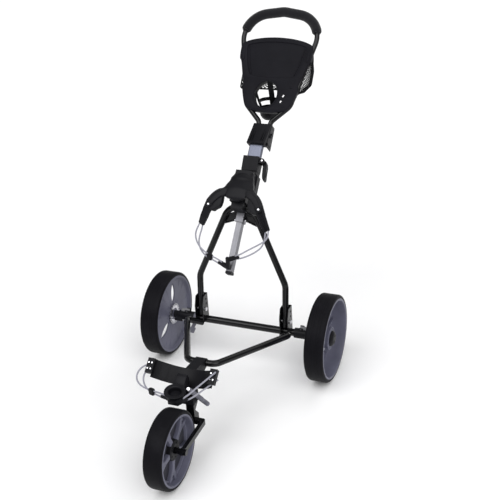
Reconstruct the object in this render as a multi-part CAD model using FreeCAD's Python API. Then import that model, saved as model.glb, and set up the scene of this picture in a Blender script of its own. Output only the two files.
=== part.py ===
import FreeCAD, Part
import math
import os
from FreeCAD import Placement, Rotation, Vector

# Three-wheel folding golf push cart, standing open. Millimetres.
# X runs across the cart, -Y is the front, +Y the handle side, +Z is up, z = 0 is the floor.
# Everything is drawn with y = 0 at the rear axle, and is moved along Y at the end so that the
# origin lies under the middle of the cart.

# ---------------------------------------------------------------- driving dimensions
REAR_WHEEL_D = 290.0
REAR_WHEEL_W = 64.0
FRONT_WHEEL_D = 232.0
FRONT_WHEEL_W = 58.0
TRACK = 578.0                 # between the middles of the two rear wheels
WHEELBASE = 638.0
FRONT_WHEEL_X = 24.0          # the front wheel runs beside the middle of the frame
TYRE_T = 11.0                 # tyre height over the rim lip
RIM_LIP = 8.0
TREAD_CORNER = 7.0

STUB_R = 6.0                  # stub axle
BUSH_R = 11.0
HUB_R = 20.0
RUN_FIT = 0.05                # radial clearance of every running fit
GAP = 0.5                     # clearance between parts that slide past each other
SEAT = 0.03                   # clearance of parts that sit still on one another

AXLE_R = 12.5
AXLE_HALF = 190.0
HOUSING_R = 17.0

LEG_R = 10.5                  # wishbone tube
LEG_WALL = 1.5
LEG_X = 152.0
LEG_PIVOT_Y = -5.0
LEG_PIVOT_Z = 187.0
LEG_LEAN = 6.5                # wishbone plane, degrees back from upright
LEG_KNEE = 127.0              # knee height above the pivot, along the leg
LEG_TOP = 382.0               # top of the wishbone above the pivot
LEG_SPLAY = 23.7              # half angle of the wishbone
LEG_KNEE_BEND = 60.0
PIVOT_BOLT_R = 4.0
PLATE_T = 3.0

FRONT_TUBE_R = 10.5
FRONT_TUBE_WALL = 1.5
CROSS_Y = -345.0              # cross run of the front tube
CROSS_Z = 217.0
CROSS_X = 46.0
FRONT_TUBE_X = 183.0          # widest place of the front tube
FRONT_TUBE_Y = -58.0
FRONT_TUBE_Z = 170.0
FRONT_TUBE_BEND = 32.0

COLUMN_LEAN = 42.0
COLUMN_Y = 15.6               # a point on the column's axis
COLUMN_Z = 503.5
BAR_W = 19.0
BAR_D = 24.0
BAR_END = -150.0
OUTER_W = 46.0                # flat upper tube of the column
OUTER_D = 18.0
OUTER_WALL = 1.5
OUTER_END = 105.0
OUTER_TOP = 305.0
SLEEVE_WALL = 3.2
SLEEVE_LOW = 14.0
SLEEVE_TOP = 48.0
CLAMP_LOW = 187.0
CLAMP_TOP = 235.0
CLAMP_HALF = 27.0

BRACKET_LOW = 282.0           # handle bracket on the column
BRACKET_TOP = 364.0
BRACKET_WALL = 2.0
HANDLE_LEAN = 37.0
HANDLE_Y = 281.7              # where the handle's plane leaves the bracket
HANDLE_Z = 759.5
HANDLE_R = 8.5
HANDLE_WALL = 1.2
HANDLE_ROOT_X = 20.0
BRACKET_HALF = HANDLE_ROOT_X + HANDLE_R + GAP + BRACKET_WALL
HANDLE_PIVOT = -38.0          # pivot bolt, along the handle below that place
GRIP_R = 16.5
GRIP_SKIP = 0.3                # share of each corner that the foam leaves bare
HANDLE_CORNER = 85.0

CORD_R = 2.5

parts = {}

# ---------------------------------------------------------------- helpers
X_AXIS = Vector(1, 0, 0)
Y_AXIS = Vector(0, 1, 0)
Z_AXIS = Vector(0, 0, 1)


def leaning(y, z, degrees):
    """Frame that leans back: local z runs up along the piece, local -y is its front."""
    return Placement(Vector(0, y, z), Rotation(X_AXIS, -degrees))


COLUMN = leaning(COLUMN_Y, COLUMN_Z, COLUMN_LEAN)
HANDLE = leaning(HANDLE_Y, HANDLE_Z, HANDLE_LEAN)
WISHBONE = leaning(LEG_PIVOT_Y, LEG_PIVOT_Z, LEG_LEAN)
CRADLE_LEAN = 50.0
CRADLE = leaning(CROSS_Y, CROSS_Z, CRADLE_LEAN)


def placed(shape, frame):
    moved = shape.copy()
    moved.Placement = frame.multiply(moved.Placement)
    return moved


def cyl(centre, axis, radius, length):
    """Cylinder of a length, centred on a point."""
    half = Vector(axis).normalize().multiply(length / 2)
    return Part.makeCylinder(radius, length, Vector(centre) - half, Vector(axis))


def box(x0, x1, y0, y1, z0, z1):
    return Part.makeBox(x1 - x0, y1 - y0, z1 - z0, Vector(x0, y0, z0))


def extrude_x(points, x0, x1):
    """Prism along X from an outline of (y, z) points."""
    ring = [Vector(x0, y, z) for y, z in points]
    return Part.Face(Part.makePolygon(ring + ring[:1])).extrude(Vector(x1 - x0, 0, 0))


def extrude_y(points, y0, y1):
    """Prism along Y from an outline of (x, z) points."""
    ring = [Vector(x, y0, z) for x, z in points]
    return Part.Face(Part.makePolygon(ring + ring[:1])).extrude(Vector(0, y1 - y0, 0))


def revolve_x(points, x0=0.0):
    """Ring about the X axis from an outline of (axial, radius) points."""
    ring = [Vector(x0 + a, 0, r) for a, r in points]
    face = Part.Face(Part.makePolygon(ring + ring[:1]))
    return face.revolve(Vector(0, 0, 0), X_AXIS, 360)


def rounded(shape, radius, chosen):
    """Fillet the edges that a test chooses."""
    edges = [e for e in shape.Edges if chosen(e)]
    return shape.makeFillet(radius, edges) if edges else shape


def bent_path(points, radii):
    """Straight runs joined by tangent arcs. radii holds one radius for each inner point."""
    edges = []
    start = points[0]
    for before, corner, after, radius in zip(points, points[1:], points[2:], radii):
        u = (before - corner).normalize()
        w = (after - corner).normalize()
        half = u.getAngle(w) / 2
        reach = radius / math.tan(half)
        first = corner + u * reach
        last = corner + w * reach
        centre = corner + (u + w).normalize() * (radius / math.sin(half))
        middle = centre + (corner - centre).normalize() * radius
        edges.append(Part.LineSegment(start, first).toShape())
        edges.append(Part.Arc(first, middle, last).toShape())
        start = last
    edges.append(Part.LineSegment(start, points[-1]).toShape())
    return Part.Wire(edges)


def sweep(path, radius):
    """Round bar along a path."""
    first = path.Edges[0]
    start = first.valueAt(first.FirstParameter)
    heading = first.tangentAt(first.FirstParameter)
    circle = Part.Wire(Part.makeCircle(radius, start, heading))
    return path.makePipeShell([circle], True, False)


def tube(points, radii, outer, wall):
    path = bent_path(points, radii)
    return sweep(path, outer).cut(sweep(path, outer - wall)), sweep(path, outer)


def mirror_x(shape):
    return shape.mirror(Vector(0, 0, 0), X_AXIS)


# ---------------------------------------------------------------- wheels
def lens(radius_in, radius_out, width, depth, degrees):
    """Lens-shaped cutter along a spoke gap, through the wheel's disc."""
    a = Vector(-depth, 0, radius_in)
    b = Vector(-depth, 0, radius_out)
    mid = (radius_in + radius_out) / 2
    right = Part.Arc(a, Vector(-depth, width / 2, mid), b).toShape()
    left = Part.Arc(b, Vector(-depth, -width / 2, mid), a).toShape()
    cutter = Part.Face(Part.Wire([right, left])).extrude(Vector(2 * depth, 0, 0))
    cutter.rotate(Vector(0, 0, 0), X_AXIS, degrees)
    return cutter


def wheel(diameter, width, disc, hub_in, hub_out, ribs):
    """Tyre and rim about the X axis, which points outwards from the wheel's middle.

    disc is the place of the disc's inner face, and ribs lists the ribs' place and angles."""
    r, h = diameter / 2, width / 2
    lip = r - TYRE_T
    seat = lip - 3.0
    inner = lip - RIM_LIP
    tyre = revolve_x([(-h + 3, seat), (h - 3, seat), (h - 3, lip), (h, lip),
                      (h, r - TREAD_CORNER), (h - 0.3 * TREAD_CORNER, r - 0.3 * TREAD_CORNER),
                      (h - TREAD_CORNER, r), (-h + TREAD_CORNER, r),
                      (-h + 0.3 * TREAD_CORNER, r - 0.3 * TREAD_CORNER),
                      (-h, r - TREAD_CORNER), (-h, lip), (-h + 3, lip)])
    barrel = revolve_x([(-h, inner), (-h, lip), (-h + 3, lip), (-h + 3, seat), (h - 3, seat),
                        (h - 3, lip), (h, lip), (h, inner), (disc + 6, inner - 4),
                        (disc, inner - 4)])
    plate = revolve_x([(disc, HUB_R - 2), (disc + 6, HUB_R - 2), (disc + 6, inner - 3),
                       (disc, inner - 3)])
    hub = revolve_x([(hub_in, BUSH_R), (hub_out, BUSH_R), (hub_out, HUB_R), (hub_in, HUB_R)])
    rim = barrel.fuse([plate, hub])
    low, high, angles = ribs
    for angle in angles:
        rib = box(low, high, -3, 3, HUB_R - 1, inner - 2)
        rib.rotate(Vector(0, 0, 0), X_AXIS, angle)
        rim = rim.fuse(rib)
    return tyre, rim.removeSplitter()


def bushes(hub_in, hub_out):
    made = []
    for a, b in ((hub_in, hub_in + 12), (hub_out - 12, hub_out)):
        made.append(revolve_x([(a, STUB_R + RUN_FIT), (b, STUB_R + RUN_FIT), (b, BUSH_R),
                               (a, BUSH_R)]))
    return Part.makeCompound(made)


def toothed_ring(face, teeth=20, inner=HUB_R + SEAT, outer=36.0, thick=4.0):
    """Castellated brake ring that sits on the hub, inboard."""
    ring = revolve_x([(face, inner), (face + thick, inner), (face + thick, outer), (face, outer)])
    for i in range(teeth):
        notch = box(face - 1, face + thick + 1, -2.4, 2.4, outer - 7, outer + 2)
        notch.rotate(Vector(0, 0, 0), X_AXIS, 360.0 * i / teeth)
        ring = ring.cut(notch)
    return ring


REAR_DISC = -24.0             # the disc lies near the inner side of each rear wheel
REAR_HUB_IN, REAR_HUB_OUT = -30.0, 22.0
REAR_GAPS = (-9, 111, 231)
REAR_RIBS = (51, 171, 291)
GAP_W = 26.0                  # widest place of each lens-shaped gap
FLANGE_R = 37.0               # round flange at the outer end of the hub
FLANGE_OUT = 18.0
RIM_TURN = {"left": 0, "right": -21}
rear_tyre, rear_rim = wheel(REAR_WHEEL_D, REAR_WHEEL_W, REAR_DISC, REAR_HUB_IN, REAR_HUB_OUT,
                            (REAR_DISC + 5, REAR_DISC + 14, REAR_RIBS))
cone = revolve_x([(REAR_DISC + 3, FLANGE_R - 6), (FLANGE_OUT - 4, FLANGE_R),
                  (FLANGE_OUT, FLANGE_R), (FLANGE_OUT, HUB_R - 1), (FLANGE_OUT - 4, HUB_R - 1),
                  (FLANGE_OUT - 4, FLANGE_R - 4), (REAR_DISC + 3, FLANGE_R - 10)])
rear_rim = rear_rim.fuse(cone)
gap_out = REAR_WHEEL_D / 2 - TYRE_T - RIM_LIP - 14
for angle in REAR_GAPS:
    rear_rim = rear_rim.cut(lens(FLANGE_R + 2, gap_out, GAP_W, 12 - REAR_DISC, angle))
rear_rim = rear_rim.removeSplitter()
ring_face = REAR_HUB_IN
ring_node = toothed_ring(ring_face)
cap = revolve_x([(REAR_HUB_OUT + 0.2, 0), (REAR_HUB_OUT + 7, 0), (REAR_HUB_OUT + 7, 18),
                 (REAR_HUB_OUT + 4, 23), (FLANGE_OUT, 26), (FLANGE_OUT, HUB_R),
                 (REAR_HUB_OUT + 0.2, HUB_R)])
rear_z = REAR_WHEEL_D / 2
for side, sign in (("right", 1), ("left", -1)):
    for name, shape in (("rear_tyre", rear_tyre), ("rear_rim", rear_rim),
                        ("brake_ring", ring_node), ("hub_cap", cap),
                        ("wheel_bushes", bushes(REAR_HUB_IN, REAR_HUB_OUT))):
        item = shape.copy() if sign > 0 else mirror_x(shape)
        item.rotate(Vector(0, 0, 0), X_AXIS, RIM_TURN[side])
        item.translate(Vector(sign * TRACK / 2, 0, rear_z))
        parts[f"{name}_{side}"] = item

FRONT_DISC = -3.0
FRONT_HUB_IN, FRONT_HUB_OUT = -15.0, 7.0
FRONT_RIBS = [20 + 72 * i for i in range(5)]
front_tyre, front_rim = wheel(FRONT_WHEEL_D, FRONT_WHEEL_W, FRONT_DISC, FRONT_HUB_IN,
                              FRONT_HUB_OUT, (FRONT_DISC - 8, FRONT_DISC + 1, FRONT_RIBS))
front_spindle = Vector(FRONT_WHEEL_X, -WHEELBASE, FRONT_WHEEL_D / 2)
for name, shape in (("front_tyre", front_tyre), ("front_rim", front_rim),
                    ("front_bushes", bushes(FRONT_HUB_IN, FRONT_HUB_OUT))):
    shape.translate(front_spindle)
    parts[name] = shape

# ---------------------------------------------------------------- rear axle
axle_z = rear_z
axle_solid = cyl((0, 0, axle_z), X_AXIS, AXLE_R, 2 * AXLE_HALF)
parts["axle_tube"] = axle_solid.cut(cyl((0, 0, axle_z), X_AXIS, AXLE_R - 1.5, 2 * AXLE_HALF))

housing_in, housing_out = AXLE_HALF - 8, TRACK / 2 + REAR_HUB_IN - 1.0
LEVER_X = 206.0               # wheel release lever's pivot
LEVER_Z = axle_z + HOUSING_R + 5
PIN_R = 1.5


def axle_housing():
    body = revolve_x([(housing_in, AXLE_R), (AXLE_HALF, AXLE_R), (AXLE_HALF, STUB_R),
                      (housing_out, STUB_R), (housing_out, 13), (housing_out - 16, 13),
                      (housing_out - 20, HOUSING_R), (housing_in, HOUSING_R)])
    body.translate(Vector(0, 0, axle_z))
    cheeks = [box(LEVER_X - 7, LEVER_X + 7, s * 9 - 1.5, s * 9 + 1.5, axle_z + 13, LEVER_Z + 4)
              for s in (-1, 1)]
    body = body.fuse(cheeks).removeSplitter()
    return body.cut(cyl((LEVER_X, 0, LEVER_Z), Y_AXIS, PIN_R + RUN_FIT, 40))


def release_lever():
    plate = box(LEVER_X - 5, LEVER_X + 24, -7, 7, LEVER_Z - 2.5, LEVER_Z + 2.5)
    plate = rounded(plate, 4, lambda e: e.Length < 6 and e.CenterOfMass.x > LEVER_X + 20)
    return plate.fuse(cyl((LEVER_X, 0, LEVER_Z), Y_AXIS, PIN_R, 21)).removeSplitter()


stub_in, stub_out = 150.0, TRACK / 2 + REAR_HUB_OUT
stub = cyl(((stub_in + stub_out) / 2, 0, axle_z), X_AXIS, STUB_R, stub_out - stub_in)
plug = cyl(((stub_in + AXLE_HALF) / 2, 0, axle_z), X_AXIS, AXLE_R - 1.5, AXLE_HALF - stub_in)
stub = stub.fuse(plug).removeSplitter()
parts["stub_axles"] = Part.makeCompound([stub, mirror_x(stub)])
housing = axle_housing()
lever = release_lever()
parts["axle_housing_right"] = housing
parts["wheel_release_right"] = lever
parts["wheel_release_left"] = mirror_x(lever)

# brake on the left wheel: a pedal on the axle pushes a pin into the toothed ring
BRAKE_PIN_R = 1.8
BRAKE_PIN_Y = 31.5
PEDAL_X = -176.0
PIN_END = -(TRACK / 2 + ring_face) + 1.5
boss = cyl(((PIN_END - 2 + PEDAL_X - 22) / 2, -BRAKE_PIN_Y, axle_z), X_AXIS, 5, 28)
arm = box(boss.BoundBox.XMin, boss.BoundBox.XMax, -BRAKE_PIN_Y, -13, axle_z - 4, axle_z + 4)
left_housing = mirror_x(housing).fuse([boss, arm]).removeSplitter()
left_housing = left_housing.cut(cyl((0, 0, axle_z), X_AXIS, STUB_R, 800))
left_housing = left_housing.cut(cyl((0, 0, axle_z), X_AXIS, AXLE_R, 2 * AXLE_HALF))
left_housing = left_housing.cut(cyl((PIN_END, -BRAKE_PIN_Y, axle_z), X_AXIS,
                                    BRAKE_PIN_R + RUN_FIT, 200))
parts["axle_housing_left"] = left_housing
pin_in = boss.BoundBox.XMax + 12
brake_pin = cyl(((PIN_END + pin_in) / 2, -BRAKE_PIN_Y, axle_z), X_AXIS, BRAKE_PIN_R,
                pin_in - PIN_END)
parts["brake_pin"] = brake_pin.fuse(cyl((pin_in - 1.5, -BRAKE_PIN_Y, axle_z), X_AXIS, 4.5, 3))
collar = revolve_x([(-5.8, AXLE_R + RUN_FIT), (5.8, AXLE_R + RUN_FIT), (5.8, 17), (-5.8, 17)])
tread = extrude_x([(-14, -8), (-46, -20), (-47, -24), (-14, -14)], -5.8, 5.8)
pad = extrude_x([(-40, -17), (-58, -23), (-58, -28), (-40, -22)], -17, 12)
pedal = collar.fuse([tread, pad]).removeSplitter()
pedal = pedal.cut(cyl((0, 0, 0), X_AXIS, AXLE_R + RUN_FIT, 60))
pedal.translate(Vector(PEDAL_X + 1, 0, axle_z))
parts["brake_pedal"] = pedal

# hinge brackets: two cheeks and a back web on the axle, around each leg
cheek_in, cheek_out = LEG_X - LEG_R - PLATE_T - 1.5, LEG_X + LEG_R + 1.5
BRACKET_Y0, BRACKET_Y1 = -24.0, 17.0
CHEEK_TOP = 238.0
outline = [(BRACKET_Y0, axle_z - 2), (BRACKET_Y0, 205), (-12, CHEEK_TOP), (BRACKET_Y1, CHEEK_TOP),
           (BRACKET_Y1, axle_z - 2)]
cheeks = [extrude_x(outline, x, x + PLATE_T) for x in (cheek_in, cheek_out)]
web = box(cheek_in, cheek_out + PLATE_T, BRACKET_Y1, BRACKET_Y1 + PLATE_T, axle_z - 2, CHEEK_TOP)
bracket = cheeks[0].fuse([cheeks[1], web]).removeSplitter()
for dy, z in ((5, 203), (5, 221)):
    bracket = bracket.cut(cyl((LEG_X, dy, z), X_AXIS, 4, 60))
bracket = bracket.cut(cyl((LEG_X, LEG_PIVOT_Y, LEG_PIVOT_Z), X_AXIS, PIVOT_BOLT_R, 60))
bracket = bracket.cut(axle_solid)

# ---------------------------------------------------------------- front tube
ft_points = [Vector(-LEG_X + 8, -AXLE_R - 7, axle_z - 4),
             Vector(-FRONT_TUBE_X, FRONT_TUBE_Y, FRONT_TUBE_Z),
             Vector(-CROSS_X, CROSS_Y, CROSS_Z), Vector(CROSS_X, CROSS_Y, CROSS_Z),
             Vector(FRONT_TUBE_X, FRONT_TUBE_Y, FRONT_TUBE_Z),
             Vector(LEG_X - 8, -AXLE_R - 7, axle_z - 4)]
front_tube, front_solid = tube(ft_points, [25, FRONT_TUBE_BEND, FRONT_TUBE_BEND, 25],
                               FRONT_TUBE_R, FRONT_TUBE_WALL)
parts["front_tube"] = front_tube.cut(axle_solid)
bracket_cut = bracket.cut(front_solid)
parts["hinge_bracket_right"] = bracket_cut
parts["hinge_bracket_left"] = mirror_x(bracket).cut(front_solid)
bolt = cyl((LEG_X, LEG_PIVOT_Y, LEG_PIVOT_Z), X_AXIS, PIVOT_BOLT_R,
           cheek_out - cheek_in + 3 * PLATE_T)
for x in (cheek_in - 2.5, cheek_out + PLATE_T + 2.5):
    bolt = bolt.fuse(cyl((x, LEG_PIVOT_Y, LEG_PIVOT_Z), X_AXIS, 7, 5))
parts["hinge_bolts"] = Part.makeCompound([bolt.removeSplitter(), mirror_x(bolt)])

# ---------------------------------------------------------------- wishbone
leg_low = -19.0
splay = math.radians(LEG_SPLAY)
apex = LEG_KNEE + LEG_X / math.tan(splay)
apex_bend = (apex - LEG_TOP) / (1 / math.sin(splay) - 1)
w_points = [Vector(-LEG_X, 0, leg_low), Vector(-LEG_X, 0, LEG_KNEE), Vector(0, 0, apex),
            Vector(LEG_X, 0, LEG_KNEE), Vector(LEG_X, 0, leg_low)]
wish, wish_filled = tube(w_points, [LEG_KNEE_BEND, apex_bend, LEG_KNEE_BEND], LEG_R, LEG_WALL)
wish = wish.cut(cyl((0, 0, 0), X_AXIS, PIVOT_BOLT_R + RUN_FIT, 2 * LEG_X + 60))
parts["wishbone"] = placed(wish, WISHBONE)
wish_seat = placed(sweep(bent_path(w_points, [LEG_KNEE_BEND, apex_bend, LEG_KNEE_BEND]),
                         LEG_R + SEAT), WISHBONE)


# ---------------------------------------------------------------- column
def in_column(shape):
    return placed(shape, COLUMN)


def block(half_x, y0, y1, z0, z1):
    return box(-half_x, half_x, y0, y1, z0, z1)


bar = block(BAR_W / 2, -BAR_D / 2, BAR_D / 2, BAR_END, OUTER_END + 20)
bar = bar.cut(block(4, -BAR_D / 2 - 1, -BAR_D / 2 + 3, BAR_END + 8, BAR_END + 34))
bar = bar.cut(block(BAR_W / 2 + 1, -BAR_D / 2 - 1, -OUTER_D / 2 + OUTER_WALL, OUTER_END, 200))
bar = bar.cut(block(BAR_W / 2 + 1, OUTER_D / 2 - OUTER_WALL, BAR_D, OUTER_END, 200))
parts["column_bar"] = in_column(bar)
end_cap = block(BAR_W / 2 + 1, -BAR_D / 2 - 1, BAR_D / 2 + 1, BAR_END - 9, BAR_END)
parts["column_end_cap"] = in_column(rounded(end_cap, 3, lambda e: e.CenterOfMass.z < BAR_END - 8))
outer = block(OUTER_W / 2, -OUTER_D / 2, OUTER_D / 2, OUTER_END, OUTER_TOP)
outer = rounded(outer, 4, lambda e: abs(e.Length - (OUTER_TOP - OUTER_END)) < 1)
outer = outer.cut(block(OUTER_W / 2 - OUTER_WALL, -OUTER_D / 2 + OUTER_WALL,
                        OUTER_D / 2 - OUTER_WALL, OUTER_END + 20, OUTER_TOP))
outer = outer.cut(block(BAR_W / 2, -OUTER_D / 2 + OUTER_WALL, OUTER_D / 2 - OUTER_WALL,
                        OUTER_END, OUTER_END + 20))
for s in (-1, 1):
    groove = cyl((s * (OUTER_W / 2 + 0.6), 0, (OUTER_END + OUTER_TOP) / 2), Z_AXIS, 1.6,
                 OUTER_TOP - OUTER_END)
    outer = outer.cut(groove)
parts["upper_tube"] = in_column(outer)

sleeve = block(BAR_W / 2 + SLEEVE_WALL + 0.3, -BAR_D / 2 - SLEEVE_WALL - 0.3,
               BAR_D / 2 + SLEEVE_WALL + 0.3, SLEEVE_LOW, SLEEVE_TOP)
sleeve = sleeve.cut(block(BAR_W / 2 + 0.3, -BAR_D / 2 - 0.3, BAR_D / 2 + 0.3, SLEEVE_LOW,
                          SLEEVE_TOP))
parts["column_sleeve"] = in_column(sleeve)
sleeve_back = BAR_D / 2 + SLEEVE_WALL + 0.3
sleeve_side = BAR_W / 2 + SLEEVE_WALL + 0.3

# cross brace: bowed plate behind the sleeve, from leg to leg
bow = [(-62, -6), (-24, sleeve_back + PLATE_T), (24, sleeve_back + PLATE_T), (62, -6), (62, -10),
       (23, sleeve_back), (-23, sleeve_back), (-62, -10)]
ring = [Vector(x, y, SLEEVE_LOW - 8) for x, y in bow]
brace = Part.Face(Part.makePolygon(ring + ring[:1])).extrude(Vector(0, 0, SLEEVE_TOP - SLEEVE_LOW
                                                                    + 8))
brace = in_column(brace).cut(wish_seat)
brace = max(brace.Solids, key=lambda s: s.Volume)
bolt_z = (SLEEVE_LOW + SLEEVE_TOP) / 2
ears = in_column(Part.makeCompound([
    box(sleeve_side, sleeve_side + 3, -6, sleeve_back, SLEEVE_LOW, SLEEVE_TOP),
    box(-sleeve_side - 3, -sleeve_side, -6, sleeve_back, SLEEVE_LOW, SLEEVE_TOP)]))
brace = brace.fuse(ears.Solids).removeSplitter()
hole = in_column(cyl((0, -1, SLEEVE_LOW + 8), X_AXIS, 3, 60))
parts["cross_brace"] = brace.cut(hole)
brace_bolts = [cyl((s * (sleeve_side + 3), -1, SLEEVE_LOW + 8), X_AXIS, 3, 6).fuse(
    cyl((s * (sleeve_side + 5), -1, SLEEVE_LOW + 8), X_AXIS, 5.5, 4)) for s in (-1, 1)]
parts["brace_bolts"] = in_column(Part.makeCompound(brace_bolts))

# ---------------------------------------------------------------- upper bag bracket
half_outline = [(27, 176), (36, 146), (47, 112), (66, 88), (78, 76), (80, 56), (60, 62),
                (44, 76), (30, 66), (20, 56)]
outline = half_outline + [(-x, z) for x, z in reversed(half_outline)]
shroud = extrude_y(outline, -95, 16)
side = [(16, 176), (-61, 176), (-76, 140), (-92, 98), (-92, 70), (-60, 60), (-18, 52), (16, 58)]
shroud = shroud.common(extrude_x(side, -100, 100))
shroud = shroud.cut(block(OUTER_W / 2 + GAP, -OUTER_D / 2 - GAP, OUTER_D / 2 + GAP, 20, 200))
shroud = shroud.cut(block(BAR_W / 2 + GAP, -BAR_D / 2 - GAP, BAR_D / 2 + GAP, 20, 200))
for s in (-1, 1):
    pocket = box(min(s * 30, s * 90), max(s * 30, s * 90), -70, 30, 30, 100)
    shroud = shroud.cut(pocket)
shroud = shroud.cut(block(40, -78, -14 - GAP, 20, 56))
shroud = in_column(shroud).cut(wish_seat)
parts["bag_bracket"] = max(shroud.Solids, key=lambda s: s.Volume)


def bag_arm(sign):
    points = [Vector(58, -88, 82), Vector(87, -80, 38), Vector(112, -47, -15)]
    path = bent_path(points, [45])
    start = points[0]
    heading = (points[1] - points[0]).normalize()
    across = heading.cross(Y_AXIS).normalize()
    front = across.cross(heading).normalize()
    ring = [start + across * a + front * b for a, b in ((-13, -8), (13, -8), (13, 8), (-13, 8))]
    arm = path.makePipeShell([Part.makePolygon(ring + ring[:1])], True, False)
    arm = in_column(arm)
    return arm if sign > 0 else mirror_x(arm)


for side_name, sign in (("right", 1), ("left", -1)):
    arm = bag_arm(sign).cut(parts["bag_bracket"])
    parts[f"bag_arm_{side_name}"] = max(arm.Solids, key=lambda s: s.Volume)

clamp_block = extrude_x([(14, CLAMP_LOW), (-24, CLAMP_LOW), (-30, CLAMP_TOP), (14, CLAMP_TOP)],
                        -CLAMP_HALF, CLAMP_HALF)
clamp_block = clamp_block.cut(block(OUTER_W / 2 + 0.3, -OUTER_D / 2 - 0.3, OUTER_D / 2 + 0.3,
                                    CLAMP_LOW, CLAMP_TOP))
CAM_X, CAM_Y, CAM_Z = CLAMP_HALF + 10, -8.0, 224.0
ear_r = 8.0
ears = []
for y0 in (CAM_Y - 14, CAM_Y + 9):
    ear = Part.makeCylinder(ear_r, 5, Vector(CAM_X, y0, CAM_Z), Y_AXIS)
    ears.append(ear.fuse(box(CLAMP_HALF - 1, CAM_X, y0, y0 + 5, CAM_Z - ear_r, CAM_Z + ear_r)))
clamp_block = clamp_block.fuse(ears).removeSplitter()
clamp_block = clamp_block.cut(cyl((CAM_X, CAM_Y, CAM_Z), Y_AXIS, 3, 60))
neck = block(26, -20, 14, 176, CLAMP_LOW)
neck = neck.cut(block(OUTER_W / 2 + 0.3, -OUTER_D / 2 - 0.3, OUTER_D / 2 + 0.3, 170, 200))
neck = neck.cut(block(BAR_W / 2 + GAP, -BAR_D / 2 - GAP, BAR_D / 2 + GAP, 170, CLAMP_LOW))
parts["clamp_block"] = in_column(clamp_block.fuse(neck).removeSplitter())
parts["cam_pin"] = in_column(cyl((CAM_X, CAM_Y, CAM_Z), Y_AXIS, 3, 32))
cam = cyl((CAM_X, CAM_Y, CAM_Z), Y_AXIS, 7, 17)
blade = extrude_y([(CAM_X - 2, CAM_Z + 4), (CAM_X + 7, CAM_Z), (CAM_X + 13, CAM_Z - 30),
                   (CAM_X + 10, CAM_Z - 50), (CAM_X + 3, CAM_Z - 66), (CAM_X - 2, CAM_Z - 66),
                   (CAM_X + 4, CAM_Z - 48), (CAM_X + 6, CAM_Z - 30), (CAM_X - 2, CAM_Z - 4)],
                  CAM_Y - 8.5, CAM_Y + 8.5)
cam = cam.fuse(blade).removeSplitter()
parts["cam_lever"] = in_column(cam.cut(cyl((CAM_X, CAM_Y, CAM_Z), Y_AXIS, 3 + RUN_FIT, 60)))

# ---------------------------------------------------------------- handle bracket and handle
to_column = COLUMN.inverse().multiply(HANDLE)
pivot = to_column.multVec(Vector(0, 0, HANDLE_PIVOT))
half = BRACKET_HALF
hb = extrude_x([(-17, BRACKET_LOW), (52, BRACKET_LOW), (48, BRACKET_TOP), (13, BRACKET_TOP)],
               -half, half)
hb = hb.common(extrude_y([(-half + 5, BRACKET_LOW), (half - 5, BRACKET_LOW),
                          (half - 4, BRACKET_LOW + 18), (half, BRACKET_LOW + 32),
                          (half, BRACKET_TOP), (-half, BRACKET_TOP), (-half, BRACKET_LOW + 32),
                          (-half + 4, BRACKET_LOW + 18)], -60, 60))
cavity = block(half - BRACKET_WALL, -HANDLE_R - GAP, 60, HANDLE_PIVOT - 20, 60)
hb = hb.cut(placed(cavity, to_column))
hb = hb.cut(cyl((0, pivot.y, pivot.z), X_AXIS, HANDLE_R + 4.5, 2 * (half - BRACKET_WALL)))
hb = hb.cut(block(OUTER_W / 2, -OUTER_D / 2, OUTER_D / 2, BRACKET_LOW - 1, OUTER_TOP))
hb = hb.cut(cyl((0, pivot.y, pivot.z), X_AXIS, 4, 100))
pivot_bolt = cyl((0, pivot.y, pivot.z), X_AXIS, 4, 2 * half + 2)
for s in (-1, 1):
    pivot_bolt = pivot_bolt.fuse(cyl((s * (half + 2.5), pivot.y, pivot.z), X_AXIS, 7.5, 5))
low_bolts = [cyl((s * (half - 3), 6, BRACKET_LOW + 9), X_AXIS, 6, 4) for s in (-1, 1)]
parts["handle_bracket"] = in_column(hb.cut(low_bolts))
parts["bracket_bolts"] = in_column(Part.makeCompound([pivot_bolt.removeSplitter()] + low_bolts))


def in_handle(shape):
    return placed(shape, HANDLE)


corner = Vector(148, 0, 373.6)
peak = Vector(0, 0, 396.6)
knee = Vector(78, 0, 66)
root = Vector(HANDLE_ROOT_X, 0, 8)
foot = Vector(HANDLE_ROOT_X, 0, HANDLE_PIVOT - 9)


def flip(p):
    return Vector(-p.x, p.y, p.z)


h_points = [flip(foot), flip(root), flip(knee), flip(corner), peak, corner, knee, root, foot]
h_radii = [25, 40, HANDLE_CORNER, 60, HANDLE_CORNER, 40, 25]
handle_tube, handle_filled = tube(h_points, h_radii, HANDLE_R, HANDLE_WALL)
handle_seat = sweep(bent_path(h_points, h_radii), HANDLE_R + SEAT)
handle_tube = handle_tube.cut(cyl((0, 0, HANDLE_PIVOT), X_AXIS, 4 + RUN_FIT, 80))
parts["handle_tube"] = in_handle(handle_tube)
loop = bent_path([flip(knee), flip(corner), peak, corner, knee],
                 [HANDLE_CORNER, 60, HANDLE_CORNER]).Edges[1:-1]
first, last = loop[0], loop[-1]
skip = GRIP_SKIP * (first.LastParameter - first.FirstParameter)
grip_edges = [first.Curve.toShape(first.FirstParameter + skip, first.LastParameter)]
grip_edges += loop[1:-1]
grip_edges.append(last.Curve.toShape(last.FirstParameter, last.LastParameter - skip))
grip_path = Part.Wire(grip_edges)
parts["foam_grip"] = in_handle(sweep(grip_path, GRIP_R).cut(sweep(grip_path, HANDLE_R)))

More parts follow.
